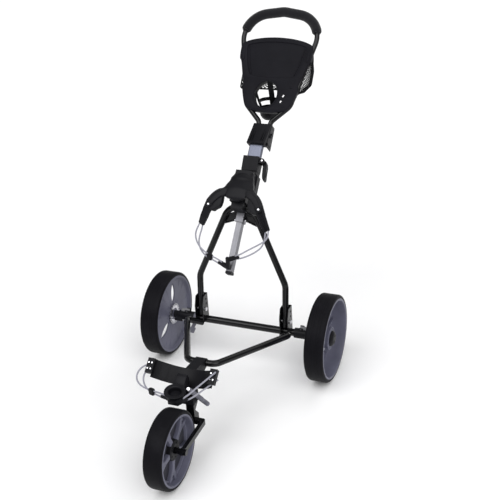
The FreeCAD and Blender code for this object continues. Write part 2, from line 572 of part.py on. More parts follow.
# console: moulded panel in the plane of the handle's tubes
panel_half = [(0, 301), (50, 298), (92, 290), (120, 279), (128, 268), (127, 250), (119, 228),
              (107, 170), (99, 130), (88, 84), (78, 56), (64, 44), (0, 36)]
panel_outline = panel_half + [(-x, z) for x, z in reversed(panel_half[1:-1])]
CONSOLE_BACK, CONSOLE_FRONT, CONSOLE_WALL = 5.0, -13.0, 2.5
console = extrude_y(panel_outline, CONSOLE_FRONT, CONSOLE_BACK)


def shrunk(points, amount):
    cz = 170.0
    return [(x * (1 - amount / 90), cz + (z - cz) * (1 - amount / 125)) for x, z in points]


console = console.cut(extrude_y(shrunk(panel_outline, 2.5), CONSOLE_FRONT + CONSOLE_WALL, 5))
field_half = [(0, 286), (60, 282), (104, 272), (108, 262), (96, 200), (84, 168), (0, 160)]
field = field_half + [(-x, z) for x, z in reversed(field_half[1:-1])]
console = console.cut(extrude_y(field, CONSOLE_FRONT - 1, CONSOLE_FRONT + 1.2))
console = console.cut(handle_seat)
CUP_X, CUP_Z, CUP_W, CUP_H, CUP_R = -10.0, 100.0, 40.0, 46.0, 33.0
cup_cut = Part.makeCylinder(1.0, 60, Vector(0, 0, 0), Vector(0, -1, 0))
scale = FreeCAD.Matrix()
scale.scale(CUP_W, 1, CUP_H)
cup_cut = cup_cut.transformGeometry(scale)
cup_cut.translate(Vector(CUP_X, 10, CUP_Z))
console = console.cut(cup_cut)
for x, z in ((52, 98), (46, 78)):
    console = console.cut(box(x - 5, x + 5, CONSOLE_FRONT - 2, CONSOLE_FRONT + 4, z - 2.5, z + 2.5))
console = max(console.Solids, key=lambda s: s.Volume)
parts["console_panel"] = in_handle(console.removeSplitter())

# cup cage: open basket that hangs from a ring behind the oval hole
cage_top = HANDLE.multVec(Vector(CUP_X, CONSOLE_BACK + 12, CUP_Z))
CAGE_DEPTH = 78.0
RING_T = 3.0
ROD_R = 2.5
cx, cy, cz = cage_top
floor_z = cz - CAGE_DEPTH
cage = cyl((cx, cy, floor_z + 14), Z_AXIS, CUP_R, 28)
cage = cage.cut(cyl((cx, cy, floor_z + 17), Z_AXIS, CUP_R - 2.5, 28))


def oval(grow, y0, y1):
    made = Part.makeCylinder(1.0, y1 - y0, Vector(0, 0, 0), Y_AXIS)
    size = FreeCAD.Matrix()
    size.scale(CUP_W + grow, 1, CUP_H + grow)
    made = made.transformGeometry(size)
    made.translate(Vector(CUP_X, y0, CUP_Z))
    return made


ring_y = CONSOLE_FRONT + CONSOLE_WALL + SEAT
ring = oval(5, ring_y, ring_y + RING_T).cut(oval(-1, ring_y - 1, ring_y + RING_T + 1))
cage = cage.fuse(in_handle(ring))
for angle in (35, 90, 145, 215, 270, 325):
    c, n = math.cos(math.radians(angle)), math.sin(math.radians(angle))
    high = HANDLE.multVec(Vector(CUP_X + (CUP_W + 2) * c, ring_y + RING_T - 0.5,
                                 CUP_Z + (CUP_H + 2) * n))
    low = Vector(cx + (CUP_R - 2) * c, cy + (CUP_R - 2) * n, floor_z + 22)
    cage = cage.fuse(Part.makeCylinder(ROD_R, (low - high).Length, high, low - high))
cage = cage.cut(cyl((cx, cy, floor_z + 17 + 3), Z_AXIS, CUP_R - 4.5, 34))
parts["cup_cage"] = cage.removeSplitter()

# mesh net: slack pouch behind the panel, open at its top
NET_FRONT = CONSOLE_BACK + SEAT
net_outer = [(NET_FRONT, 262), (30, 262), (58, 236), (68, 196), (58, 156), (30, 136),
             (NET_FRONT, 134)]
net_inner = [(NET_FRONT - 1, 264), (28, 264), (55.5, 235), (65.5, 196), (56, 158), (29, 138.5),
             (NET_FRONT - 1, 136.5)]
net_half = [(0, 270), (124, 270), (124, 249), (117, 228), (105, 170), (97, 130), (0, 130)]
net_wide = net_half + [(-x, z) for x, z in reversed(net_half[1:-1])]
net_slim = [(x - math.copysign(2.5, x), z) for x, z in net_wide]
net = extrude_x(net_outer, -130, 130).common(extrude_y(net_wide, 0, 80))
net = net.cut(extrude_x(net_inner, -130, 130).common(extrude_y(net_slim, 0, 80)))
net = net.cut(handle_seat)
net = in_handle(net).cut(cyl((cx, cy, floor_z), Z_AXIS, CUP_R + GAP, 60))
net = net.cut(parts["cup_cage"])
parts["mesh_net"] = max(net.Solids, key=lambda s: s.Volume)


# ---------------------------------------------------------------- front assembly
def in_cradle(shape):
    return placed(shape, CRADLE)


HEAD_HALF = 17.0
CLASP_R = FRONT_TUBE_R + 3.5
BAND_R = 120.0
BAND_BACK = -69.0             # middle of the cradle band, in front of the cross tube
BAND_LOW, BAND_TOP = -97.0, -42.0
BAND_T = 5.0
POST_X0, POST_X1 = FRONT_WHEEL_X - 6.5, FRONT_WHEEL_X + 18.5
POST_Y1 = 22.0                # back face of the post, behind the yoke line
YOKE_Y = -497.0
YOKE_Z = FRONT_WHEEL_D / 2
ARM_X = FRONT_WHEEL_W / 2 + 12.0
PRONG_R = 7.0
LEVER_X0, LEVER_Z0 = 27.0, -110.0      # pin of the front release lever, in the cradle's frame
LEVER_BOSS = (34.0, -88.0, -47.0)      # its boss: side face, front face and back face

band_centre = Vector(0, BAND_BACK - BAND_R, BAND_LOW)
band = Part.makeCylinder(BAND_R + BAND_T, BAND_TOP - BAND_LOW, band_centre, Z_AXIS)
band = band.cut(Part.makeCylinder(BAND_R, BAND_TOP - BAND_LOW, band_centre, Z_AXIS))
keep = extrude_x([(BAND_BACK - 46, BAND_LOW), (BAND_BACK + 20, BAND_LOW), (BAND_BACK + 20, BAND_TOP),
                  (BAND_BACK - 46, BAND_TOP)], -200, 200)
band = band.common(keep)
ribs = []
for z0 in (BAND_LOW, BAND_TOP - 4):
    rib = Part.makeCylinder(BAND_R + 14, 4, Vector(0, BAND_BACK - BAND_R, z0), Z_AXIS)
    rib = rib.cut(Part.makeCylinder(BAND_R + 1, 4, Vector(0, BAND_BACK - BAND_R, z0), Z_AXIS))
    ribs.append(rib.common(extrude_x([(BAND_BACK - 44, z0), (BAND_BACK + 20, z0),
                                      (BAND_BACK + 20, z0 + 4), (BAND_BACK - 44, z0 + 4)],
                                     -200, 200)).cut(block(HEAD_HALF + 0.0, -200, 20, z0, z0 + 4)))
band = band.fuse([s for r in ribs for s in r.Solids]).removeSplitter()
parts["lower_cradle"] = in_cradle(band)

arm_y = BAND_BACK - 46
arm_x = math.sqrt(BAND_R ** 2 - (BAND_R - 46) ** 2)
clips = []
rivets = []
for s in (-1, 1):
    centre = Vector(s * (arm_x + 5), arm_y - 8, (BAND_LOW + BAND_TOP) / 2)
    clip = box(centre.x - 11, centre.x + 11, centre.y - 8, centre.y + 8, BAND_LOW + 8,
               BAND_TOP - 2)
    clips.append(clip.cut(band))
    for dx in (-5, 5):
        for dz in (-9, 9):
            rivets.append(cyl((centre.x + dx, centre.y - 9.2, centre.z + 2 + dz), Y_AXIS, 2.6, 2.4))
parts["cradle_clips"] = in_cradle(Part.makeCompound(clips))
parts["clip_rivets"] = in_cradle(Part.makeCompound(rivets))

cradle_back = CRADLE.multVec(Vector(0, BAND_BACK + BAND_T, BAND_TOP))
cradle_foot = CRADLE.multVec(Vector(0, BAND_BACK + BAND_T, BAND_LOW))
head = extrude_x([(CROSS_Y, CROSS_Z - CLASP_R), (CROSS_Y, CROSS_Z + CLASP_R),
                  (cradle_back.y, cradle_back.z), (cradle_foot.y, cradle_foot.z),
                  (YOKE_Y - 10, 213), (YOKE_Y - 10, 178), (-440, 178)], -HEAD_HALF, HEAD_HALF)
head = head.fuse([cyl((0, CROSS_Y, CROSS_Z), X_AXIS, CLASP_R, 2 * HEAD_HALF),
                  box(HEAD_HALF - 1, POST_X1 + 3, YOKE_Y - 10, YOKE_Y + POST_Y1 + 4, 178, 213)])
lever_boss = box(HEAD_HALF - 1, LEVER_BOSS[0], LEVER_BOSS[1], LEVER_BOSS[2], LEVER_Z0 - 9,
                 LEVER_Z0 + 8)
prong_room = [box(HEAD_HALF + GAP, 90, LEVER_BOSS[1] - 40, LEVER_BOSS[1], LEVER_Z0 - 45,
                  LEVER_Z0 + 9),
              box(HEAD_HALF + GAP, 90, LEVER_BOSS[2], LEVER_BOSS[2] + 40, LEVER_Z0 - 45,
                  LEVER_Z0 + 9)]
prong_room = in_cradle(Part.makeCompound(prong_room))
head = head.fuse(in_cradle(lever_boss)).cut(prong_room.Solids)
head = head.cut(cyl((0, CROSS_Y, CROSS_Z), X_AXIS, FRONT_TUBE_R + RUN_FIT, 200))
head = head.cut(box(POST_X0, POST_X1, YOKE_Y - 6, YOKE_Y + POST_Y1, 170, 205))
head = max(head.Solids, key=lambda s: s.Volume)
parts["front_head"] = head.removeSplitter()

post = box(POST_X0, POST_X1, YOKE_Y - 6, YOKE_Y + POST_Y1, YOKE_Z - 8, 205)
yoke = box(FRONT_WHEEL_X - ARM_X - 6, FRONT_WHEEL_X + ARM_X + 6, YOKE_Y - 6, YOKE_Y + 8,
           YOKE_Z - 8, YOKE_Z + 8)
fork = post.fuse(yoke)
for s in (-1, 1):
    x = FRONT_WHEEL_X + s * ARM_X
    fork = fork.fuse(box(x - 6, x + 6, -WHEELBASE, YOKE_Y + 8, YOKE_Z - 8, YOKE_Z + 8))
    fork = fork.fuse(cyl((x, -WHEELBASE, YOKE_Z), X_AXIS, 11, 12))
fork = fork.removeSplitter()
fork = rounded(fork, 7, lambda e: abs(e.Length - 16) < 0.1 and e.CenterOfMass.y > YOKE_Y
               and abs(e.CenterOfMass.x - FRONT_WHEEL_X) > ARM_X)
fork = fork.cut(prong_room.Solids)
parts["front_fork"] = fork.cut(cyl((FRONT_WHEEL_X, -WHEELBASE, YOKE_Z), X_AXIS, STUB_R, 300))
axle = cyl((FRONT_WHEEL_X, -WHEELBASE, YOKE_Z), X_AXIS, STUB_R, 2 * ARM_X + 16)
for s in (-1, 1):
    axle = axle.fuse(cyl((FRONT_WHEEL_X + s * (ARM_X + 9), -WHEELBASE, YOKE_Z), X_AXIS, 9, 6))
    reach = ARM_X - 6 - FRONT_HUB_OUT if s > 0 else ARM_X - 6 + FRONT_HUB_IN
    face = FRONT_HUB_OUT if s > 0 else -FRONT_HUB_IN
    spacer = cyl((FRONT_WHEEL_X + s * (face + reach / 2), -WHEELBASE, YOKE_Z), X_AXIS, 8.5,
                 reach - 0.6)
    axle = axle.fuse(spacer)
parts["front_axle"] = axle.removeSplitter()

# bag rest: layered plate that stands out from the head under the bag's base
rest = in_cradle(block(32, -182, -52, -128, -122)).fuse(
    in_cradle(block(26, -176, -56, -122, -114)))
rest = rest.removeSplitter()
rest = rest.cut([parts["front_head"], parts["front_fork"], *prong_room.Solids])
parts["bag_rest"] = max(rest.Solids, key=lambda s: s.Volume)

# front release lever: two rounded prongs on a pin that runs through a boss of the head
prongs = []
for y in (LEVER_BOSS[1] - PRONG_R - 0.3, LEVER_BOSS[2] + PRONG_R + 0.3):
    start = Vector(LEVER_X0, y, LEVER_Z0)
    end = Vector(LEVER_X0 + 44, y, LEVER_Z0 - 19)
    rod = sweep(Part.Wire([Part.LineSegment(start, end).toShape()]), PRONG_R)
    prongs.append(rod.fuse([Part.makeSphere(PRONG_R, end), Part.makeSphere(PRONG_R, start)]))
middle_y = (LEVER_BOSS[1] + LEVER_BOSS[2]) / 2
bridge = cyl((LEVER_X0 + 34, middle_y, LEVER_Z0 - 15), Y_AXIS, 4.5,
             LEVER_BOSS[2] - LEVER_BOSS[1] + PRONG_R)
front_lever = prongs[0].fuse([prongs[1], bridge]).removeSplitter()
front_lever = front_lever.cut(cyl((LEVER_X0, middle_y, LEVER_Z0), Y_AXIS, 3 + RUN_FIT, 200))
parts["front_release_lever"] = in_cradle(front_lever)
pin_length = LEVER_BOSS[2] - LEVER_BOSS[1] + 4 * PRONG_R + 1.2
lever_pin = cyl((LEVER_X0, middle_y, LEVER_Z0), Y_AXIS, 3, pin_length)
for out in (-1, 1):
    lever_pin = lever_pin.fuse(cyl((LEVER_X0, middle_y + out * (pin_length / 2 + 1.2), LEVER_Z0),
                                   Y_AXIS, 5.5, 2.4))
pin_room = in_cradle(cyl((LEVER_X0, middle_y, LEVER_Z0), Y_AXIS, 3, 300))
parts["front_head"] = parts["front_head"].cut(pin_room)
parts["front_fork"] = parts["front_fork"].cut(pin_room)
parts["front_lever_pin"] = in_cradle(lever_pin.removeSplitter())

# ---------------------------------------------------------------- elastic cords
# Each cord leaves an arm, runs to a hook in the middle, turns round its pin and comes back.
HOOK_R = 6.0                  # middle of the cord round a hook's pin


def hook_axes(along, up):
    e = Vector(*along).normalize()
    n = Vector(*up)
    n = (n - e * n.dot(e)).normalize()
    return e, n


def hook_turn(centre, along, up):
    """Four corners that carry the cord half a turn round a pin."""
    e, n = hook_axes(along, up)
    c = Vector(*centre)
    small = HOOK_R * math.tan(math.pi / 8)
    return [c + e * a + n * b for a, b in ((small, HOOK_R), (HOOK_R, small), (HOOK_R, -small),
                                           (small, -HOOK_R))]


def cord(name, out, hook, back):
    """Round elastic: straight runs joined by tangent arcs, as large as the runs allow."""
    points = [Vector(*p) for p in out] + hook_turn(*hook) + [Vector(*p) for p in back]
    radii = []
    for before, here, after in zip(points, points[1:], points[2:]):
        u, w = before - here, after - here
        turn = math.pi - u.getAngle(w)
        radii.append(0.45 * min(u.Length, w.Length) / math.tan(turn / 2))
    path = bent_path(points, radii)
    solid = sweep(path, CORD_R)
    ratio = solid.Volume / (math.pi * CORD_R ** 2 * path.Length)
    print(name, "length", round(path.Length, 1), "radii", [round(r, 1) for r in radii],
          "volume ratio", round(ratio, 4))
    parts[name] = solid


def hook(centre, along, up):
    """Clevis hook: pin, two cheeks and the block that joins them."""
    e, n = hook_axes(along, up)
    m = e.cross(n)
    c = Vector(*centre)
    frame = FreeCAD.Matrix(e.x, m.x, n.x, c.x, e.y, m.y, n.y, c.y, e.z, m.z, n.z, c.z, 0, 0, 0, 1)
    pin_r = HOOK_R - CORD_R - SEAT
    made = cyl((0, 0, 0), Y_AXIS, pin_r, 2 * CORD_R + 6)
    for s in (-1, 1):
        y = s * (CORD_R + 1.8)
        made = made.fuse(box(-5, 26, y - 1.2, y + 1.2, -5, 5))
    made = made.fuse(box(13, 30, -5.5, 5.5, -6, 6)).removeSplitter()
    made = made.transformGeometry(frame)
    return made


UPPER_LEFT_HOOK = ((-30, -88, 424), (0.93, -0.17, -0.33), (0, 0, 1))
UPPER_RIGHT_HOOK = ((30, -86, 450), (-0.93, -0.20, -0.30), (0, 0, 1))
LOWER_LEFT_HOOK = ((-32, -543, 222), (0.98, -0.10, -0.12), (0, 0, 1))
LOWER_RIGHT_HOOK = ((40, -541, 226), (-0.72, -0.60, -0.30), (0, 0, 1))

cord("upper_cord_left",
     [(-117, -29, 527), (-125, -36, 511), (-129, -46, 493), (-122, -57, 473), (-105, -67, 456),
      (-84, -75, 446), (-64, -80, 440), (-48, -84, 436), (-37, -86, 433)],
     UPPER_LEFT_HOOK,
     [(-41, -86, 422), (-52, -84, 426), (-71, -80, 430), (-91, -74, 438), (-107, -66, 454),
      (-114, -57, 473), (-113, -46, 492), (-109, -36, 508), (-107, -29, 524)])
cord("upper_cord_right",
     [(117, -29, 527), (119, -38, 512), (112, -50, 500), (96, -60, 490), (76, -69, 480),
      (57, -77, 470), (44, -82, 462), (36, -84, 458)],
     UPPER_RIGHT_HOOK,
     [(40, -84, 446), (50, -81, 449), (67, -75, 456), (86, -67, 466), (101, -57, 478),
      (107, -47, 492), (108, -37, 507), (107, -29, 524)])
cord("lower_cord_left",
     [(-104, -470, 272), (-122, -479, 267), (-134, -491, 255), (-137, -503, 241),
      (-127, -515, 231), (-108, -525, 227), (-84, -533, 227), (-60, -538, 228), (-44, -541, 229)],
     LOWER_LEFT_HOOK,
     [(-44, -541, 217), (-60, -537, 218), (-82, -530, 219), (-100, -520, 224), (-112, -508, 233),
      (-116, -495, 246), (-110, -484, 256), (-100, -474, 262)])
cord("lower_cord_right",
     [(109, -474, 287), (85, -499, 268), (62, -520, 250), (49, -532, 238)],
     LOWER_RIGHT_HOOK,
     [(55, -531, 225), (70, -515, 234), (92, -493, 247), (113, -471, 259)])

for holder, held in (("bag_arm_left", "upper_cord_left"), ("bag_arm_right", "upper_cord_right"),
                     ("cradle_clips", "lower_cord_left"), ("cradle_clips", "lower_cord_right"),
                     ("lower_cradle", "lower_cord_right"), ("lower_cradle", "lower_cord_left")):
    parts[holder] = parts[holder].cut(parts[held])
upper_link = box(-6, 6, -98, -88, 410, 448)
hooks = hook(*UPPER_LEFT_HOOK).fuse([hook(*UPPER_RIGHT_HOOK), upper_link]).removeSplitter()
parts["upper_hooks"] = hooks
lower_link = box(-8, 24, -562, -544, 211, 221)
hooks = hook(*LOWER_LEFT_HOOK).fuse([hook(*LOWER_RIGHT_HOOK), lower_link]).removeSplitter()
parts["lower_hooks"] = hooks

if __name__ == "__main__":
    # ------------------------------------------------------------ place and write
    front = parts["front_tyre"].BoundBox.YMin
    rear = parts["foam_grip"].BoundBox.YMax
    shift = Vector(0, -(front + rear) / 2, 0)
    os.makedirs("parts", exist_ok=True)
    for name, shape in parts.items():
        moved = shape.copy()
        moved.translate(shift)
        moved.exportStep(f"parts/{name}.step")
    print("shift", shift, "nodes", len(parts))
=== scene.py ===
import math

import bmesh
import bpy
from mathutils import Matrix, Vector


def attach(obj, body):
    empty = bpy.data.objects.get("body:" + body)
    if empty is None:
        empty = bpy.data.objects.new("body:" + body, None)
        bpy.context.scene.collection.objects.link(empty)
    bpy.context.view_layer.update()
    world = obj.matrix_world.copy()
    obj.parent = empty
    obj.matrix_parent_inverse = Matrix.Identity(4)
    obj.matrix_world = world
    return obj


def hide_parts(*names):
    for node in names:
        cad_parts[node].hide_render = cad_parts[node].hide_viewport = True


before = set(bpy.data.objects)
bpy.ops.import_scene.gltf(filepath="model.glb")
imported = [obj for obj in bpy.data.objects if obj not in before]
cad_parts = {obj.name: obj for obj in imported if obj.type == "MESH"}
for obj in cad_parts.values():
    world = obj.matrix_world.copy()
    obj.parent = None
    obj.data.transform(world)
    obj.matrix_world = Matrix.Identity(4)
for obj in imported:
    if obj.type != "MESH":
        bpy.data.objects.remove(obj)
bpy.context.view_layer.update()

# Lengths below are millimetres, as in the part's source, and MM turns them into metres.
MM = 0.001
SHIFT_Y = 108.8237            # the drawing has y = 0 at the rear axle; the row frame doesn't


# ---------------------------------------------------------------- frames and camera
def leaning(y, z, degrees):
    """Frame whose local z runs up along a leaning piece; its local -y is the front."""
    c, s = math.cos(math.radians(degrees)), math.sin(math.radians(degrees))
    rows = ((1, 0, 0, 0), (0, c, s, (y + SHIFT_Y) * MM), (0, -s, c, z * MM), (0, 0, 0, 1))
    return Matrix(rows) @ Matrix.Scale(MM, 4)


FLAT = leaning(0, 0, 0)
COLUMN = leaning(15.6, 503.5, 42)
HANDLE = leaning(281.7, 759.5, 37)
CRADLE = leaning(-345, 217, 50)


def point(x, y, z):
    return FLAT @ Vector((x, y, z))


CAMERA_PLACE = (1080.5, -2475.9, 1808.4)
CAMERA_YAW, CAMERA_PITCH, CAMERA_ROLL = -22.82, 27.10, -3.50
CAMERA_LENS, CAMERA_SENSOR = 67.33, 36.0


def make_camera():
    """Looks down at the cart from the front right; yaw, pitch and roll are in degrees."""
    yaw, pitch, roll = (math.radians(a) for a in (CAMERA_YAW, CAMERA_PITCH, CAMERA_ROLL))
    ahead = Vector((math.sin(yaw) * math.cos(pitch), math.cos(yaw) * math.cos(pitch),
                    -math.sin(pitch)))
    right = Vector((math.cos(yaw), -math.sin(yaw), 0))
    up = right.cross(ahead)
    right, up = (math.cos(roll) * right + math.sin(roll) * up,
                 math.cos(roll) * up - math.sin(roll) * right)
    camera = bpy.data.objects.new("camera", bpy.data.cameras.new("camera"))
    camera.data.lens = CAMERA_LENS
    camera.data.sensor_width = CAMERA_SENSOR
    turn = Matrix((right, up, -ahead)).transposed().to_4x4()
    camera.matrix_world = Matrix.Translation(point(*CAMERA_PLACE)) @ turn
    bpy.context.scene.collection.objects.link(camera)
    bpy.context.scene.camera = camera


make_camera()


# ---------------------------------------------------------------- materials
class Shader:
    """A material built from nodes on the object's own coordinates."""

    def __init__(self, name, **constants):
        self.material = bpy.data.materials.new(name)
        self.material.use_nodes = True
        self.tree = self.material.node_tree
        self.surface = self.tree.nodes["Principled BSDF"]
        for key, value in constants.items():
            self.surface.inputs[key.replace("_", " ")].default_value = value
        self.place = self.add("ShaderNodeTexCoord").outputs["Object"]

    def add(self, kind, **settings):
        node = self.tree.nodes.new(kind)
        for key, value in settings.items():
            setattr(node, key, value)
        return node

    def link(self, a, b):
        self.tree.links.new(a, b)

    def stretched(self, scale):
        node = self.add("ShaderNodeMapping")
        node.inputs["Scale"].default_value = scale
        self.link(self.place, node.inputs["Vector"])
        return node.outputs["Vector"]

    def noise(self, scale, detail=3.0, rough=0.55, vector=None):
        node = self.add("ShaderNodeTexNoise")
        node.inputs["Scale"].default_value = scale
        node.inputs["Detail"].default_value = detail
        node.inputs["Roughness"].default_value = rough
        self.link(vector or self.place, node.inputs["Vector"])
        return node.outputs["Fac"]

    def cells(self, scale):
        node = self.add("ShaderNodeTexVoronoi")
        node.inputs["Scale"].default_value = scale
        self.link(self.place, node.inputs["Vector"])
        return node.outputs["Distance"]

    def waves(self, scale, vector):
        node = self.add("ShaderNodeTexWave")
        node.inputs["Scale"].default_value = scale
        self.link(vector, node.inputs["Vector"])
        return node.outputs["Fac"]

    def ramp(self, value, stops):
        node = self.add("ShaderNodeValToRGB")
        bar = node.color_ramp
        for _ in range(len(stops) - 2):
            bar.elements.new(0.5)
        for element, (place, colour) in zip(bar.elements, stops):
            element.position = place
            element.color = (*colour, 1)
        self.link(value, node.inputs["Fac"])
        return node.outputs["Color"]

    def span(self, value, low, high):
        node = self.add("ShaderNodeMapRange")
        node.inputs["To Min"].default_value = low
        node.inputs["To Max"].default_value = high
        self.link(value, node.inputs["Value"])
        return node.outputs["Result"]

    def colour(self, output):
        self.link(output, self.surface.inputs["Base Color"])

    def rough(self, value, low, high):
        self.link(self.span(value, low, high), self.surface.inputs["Roughness"])

    def bump(self, height, distance, strength=0.5, under=None):
        node = self.add("ShaderNodeBump")
        node.inputs["Distance"].default_value = distance
        node.inputs["Strength"].default_value = strength
        self.link(height, node.inputs["Height"])
        if under:
            self.link(under, node.inputs["Normal"])
        self.link(node.outputs["Normal"], self.surface.inputs["Normal"])
        return node.outputs["Normal"]


def tinted(tone, low, high):
    return tuple(c * low for c in tone), tuple(c * high for c in tone)


def moulded(name, tone, low=0.38, high=0.52, grain=1500, shine=0.12):
    """Moulded plastic: spark-eroded grain, slow cloudiness and faint handling marks."""
    s = Shader(name, Specular_IOR_Level=shine)
    cloud = s.noise(9, 4)
    dark, light = tinted(tone, 0.82, 1.18)
    s.colour(s.ramp(cloud, [(0.3, dark), (0.7, light)]))
    s.rough(s.noise(38, 6, 0.7), low, high)
    fine = s.bump(s.noise(grain, 2), 0.0002, 0.35)
    s.bump(s.noise(45, 2), 0.0008, 0.06, under=fine)
    return s.material


def painted(name, tone, rough=0.2):
    """Gloss enamel on steel tube: clear coat, orange peel and dust in soft random patches."""
    s = Shader(name, Coat_Weight=0.12, Coat_Roughness=0.06, Specular_IOR_Level=0.22)
    dark, light = tinted(tone, 0.8, 1.3)
    s.colour(s.ramp(s.noise(14, 5), [(0.35, dark), (0.75, light)]))
    s.rough(s.noise(60, 5, 0.7), rough, rough + 0.16)
    peel = s.bump(s.noise(420, 2), 0.0003, 0.10)
    s.bump(s.noise(35, 2), 0.001, 0.05, under=peel)
    return s.material


def brushed(name, tone, grain, low=0.28, high=0.42):
    """Drawn or brushed metal: fine lines along the piece and soft stains."""
    s = Shader(name, Metallic=1.0)
    lines = s.noise(1, 5, 0.7, vector=s.stretched(grain))
    dark, light = tinted(tone, 0.8, 1.08)
    s.colour(s.ramp(lines, [(0.3, dark), (0.7, light)]))
    s.rough(s.noise(30, 5, 0.65), low, high)
    s.bump(lines, 0.0001, 0.18)
    return s.material


def rubber(name, tone, grain, depth):
    """Tyre rubber: matt, with a fine skin, dusty patches and scuffs round the tread."""
    s = Shader(name, Specular_IOR_Level=0.07)
    dust = s.noise(16, 6, 0.7)
    dark, light = tinted(tone, 0.75, 1.0)
    dusty = tuple(c * 1.5 + 0.003 for c in tone)
    s.colour(s.ramp(dust, [(0.2, dark), (0.55, light), (0.85, dusty)]))
    s.rough(s.noise(70, 5, 0.7), 0.42, 0.62)
    skin = s.bump(s.noise(grain, 3), depth, 0.4)
    rings = s.noise(1, 4, 0.6, vector=s.stretched((900, 12, 12)))
    s.bump(rings, 0.0002, 0.12, under=skin)
    return s.material


def foam(name, tone):
    """Closed-cell foam: fine open pores in a soft matt skin."""
    s = Shader(name, Sheen_Weight=0.25, Sheen_Roughness=0.5, Specular_IOR_Level=0.12)
    pores = s.cells(900)
    dark, light = tinted(tone, 0.55, 1.25)
    s.colour(s.ramp(pores, [(0.1, dark), (0.6, light)]))
    s.rough(s.noise(80, 4), 0.8, 0.95)
    fine = s.bump(pores, 0.0006, 0.5)
    s.bump(s.noise(60, 3), 0.0012, 0.2, under=fine)
    return s.material


def woven(name, tone, pitch, fuzz):
    """Braided sleeve of an elastic cord: crossing strands with darker gaps."""
    s = Shader(name, Sheen_Weight=fuzz, Sheen_Roughness=0.4, Specular_IOR_Level=fuzz)
    one = s.waves(pitch, s.stretched((1, 0.8, 1.2)))
    other = s.waves(pitch, s.stretched((1, -0.8, -1.2)))
    cross = s.add("ShaderNodeMath", operation="MAXIMUM")
    s.link(one, cross.inputs[0])
    s.link(other, cross.inputs[1])
    dark, light = tinted(tone, 0.6, 1.1)
    s.colour(s.ramp(cross.outputs[0], [(0.1, dark), (0.8, light)]))
    s.rough(s.noise(200, 3), 0.5, 0.7)
    s.bump(cross.outputs[0], 0.0004, 0.5)
    return s.material


BLACK = moulded("black_plastic", (0.0085, 0.0085, 0.0105), 0.34, 0.5, 1400)
BLACK_PANEL = moulded("console_plastic", (0.0075, 0.0073, 0.0105), 0.40, 0.54, 1700, shine=0.07)
GREY = moulded("rim_plastic", (0.118, 0.119, 0.166), 0.36, 0.50, 1200, shine=0.25)
# Dark grey painted shade, laid in the front wheel's pockets between its spokes.
POCKET_SHADE = moulded("pocket_painted_shade", (0.035, 0.035, 0.045), 0.45, 0.6, 1200)
LIGHT_GREY = moulded("lever_plastic", (0.15, 0.15, 0.18), 0.36, 0.48, 1200)
NYLON = moulded("nylon", (0.20, 0.20, 0.21), 0.35, 0.5, 1100)
PAINT = painted("black_enamel", (0.0035, 0.0035, 0.0042), 0.14)
SILVER = brushed("drawn_aluminium", (0.15, 0.16, 0.205), (900, 30, 30), 0.34, 0.48)
BAR_METAL = brushed("grey_bar", (0.24, 0.24, 0.26), (700, 24, 24), 0.4, 0.55)
ZINC = brushed("zinc", (0.72, 0.72, 0.75), (160, 160, 160), 0.2, 0.36)
STEEL = brushed("steel_ring", (0.62, 0.62, 0.66), (160, 160, 160), 0.2, 0.36)
TYRE = rubber("tyre_rubber", (0.0055, 0.0053, 0.0072), 1300, 0.0002)
FOAM = foam("grip_foam", (0.0075, 0.0073, 0.0095))
ELASTIC = woven("elastic_sleeve", (0.36, 0.36, 0.42), 260, 0.3)
STRING = woven("net_string", (0.008, 0.008, 0.0095), 400, 0.05)


# ---------------------------------------------------------------- mesh helpers
SHARP_ANGLE, BEVEL_ANGLE, FLAT_ANGLE = 32.0, 35.0, 1.0
WELD_REACH = 1e-5


def shade_group():
    """Smooth shading, with edges sharper than SHARP_ANGLE degrees left sharp."""
    group = bpy.data.node_groups.new("shade_by_angle", "GeometryNodeTree")
    group.interface.new_socket("Geometry", in_out="INPUT", socket_type="NodeSocketGeometry")
    group.interface.new_socket("Geometry", in_out="OUTPUT", socket_type="NodeSocketGeometry")
    start = group.nodes.new("NodeGroupInput")
    end = group.nodes.new("NodeGroupOutput")
    smooth = group.nodes.new("GeometryNodeSetShadeSmooth")
    sharp = group.nodes.new("GeometryNodeSetShadeSmooth")
    sharp.domain = "EDGE"
    sharp.inputs["Shade Smooth"].default_value = False
    angle = group.nodes.new("GeometryNodeInputMeshEdgeAngle")
    over = group.nodes.new("FunctionNodeCompare")
    over.operation = "GREATER_THAN"
    over.inputs[1].default_value = math.radians(SHARP_ANGLE)
    group.links.new(start.outputs[0], smooth.inputs["Geometry"])
    group.links.new(smooth.outputs[0], sharp.inputs["Geometry"])
    group.links.new(angle.outputs["Unsigned Angle"], over.inputs[0])
    group.links.new(over.outputs[0], sharp.inputs["Selection"])
    group.links.new(sharp.outputs[0], end.inputs[0])
    return group


SHADE = shade_group()


def soften(obj, width, segments=2, weld=False):
    """Rounds the edges of a piece by width in millimetres and sets its shading."""
    if weld:
        obj.modifiers.new("weld", "WELD").merge_threshold = WELD_REACH
        flat = obj.modifiers.new("flat", "DECIMATE")
        flat.decimate_type = "DISSOLVE"
        flat.angle_limit = math.radians(FLAT_ANGLE)
    obj.modifiers.new("shade", "NODES").node_group = SHADE
    if width:
        bevel = obj.modifiers.new("bevel", "BEVEL")
        bevel.width = width * MM
        bevel.segments = segments
        bevel.limit_method = "ANGLE"
        bevel.angle_limit = math.radians(BEVEL_ANGLE)
        bevel.use_clamp_overlap = True
        bevel.harden_normals = True


def new_object(name, data, material, body, replaces=(), slot=None):
    obj = bpy.data.objects.new(name, data)
    bpy.context.scene.collection.objects.link(obj)
    data.materials.append(material)
    if body:
        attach(obj, body)
    if replaces:
        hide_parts(*replaces)
    return obj


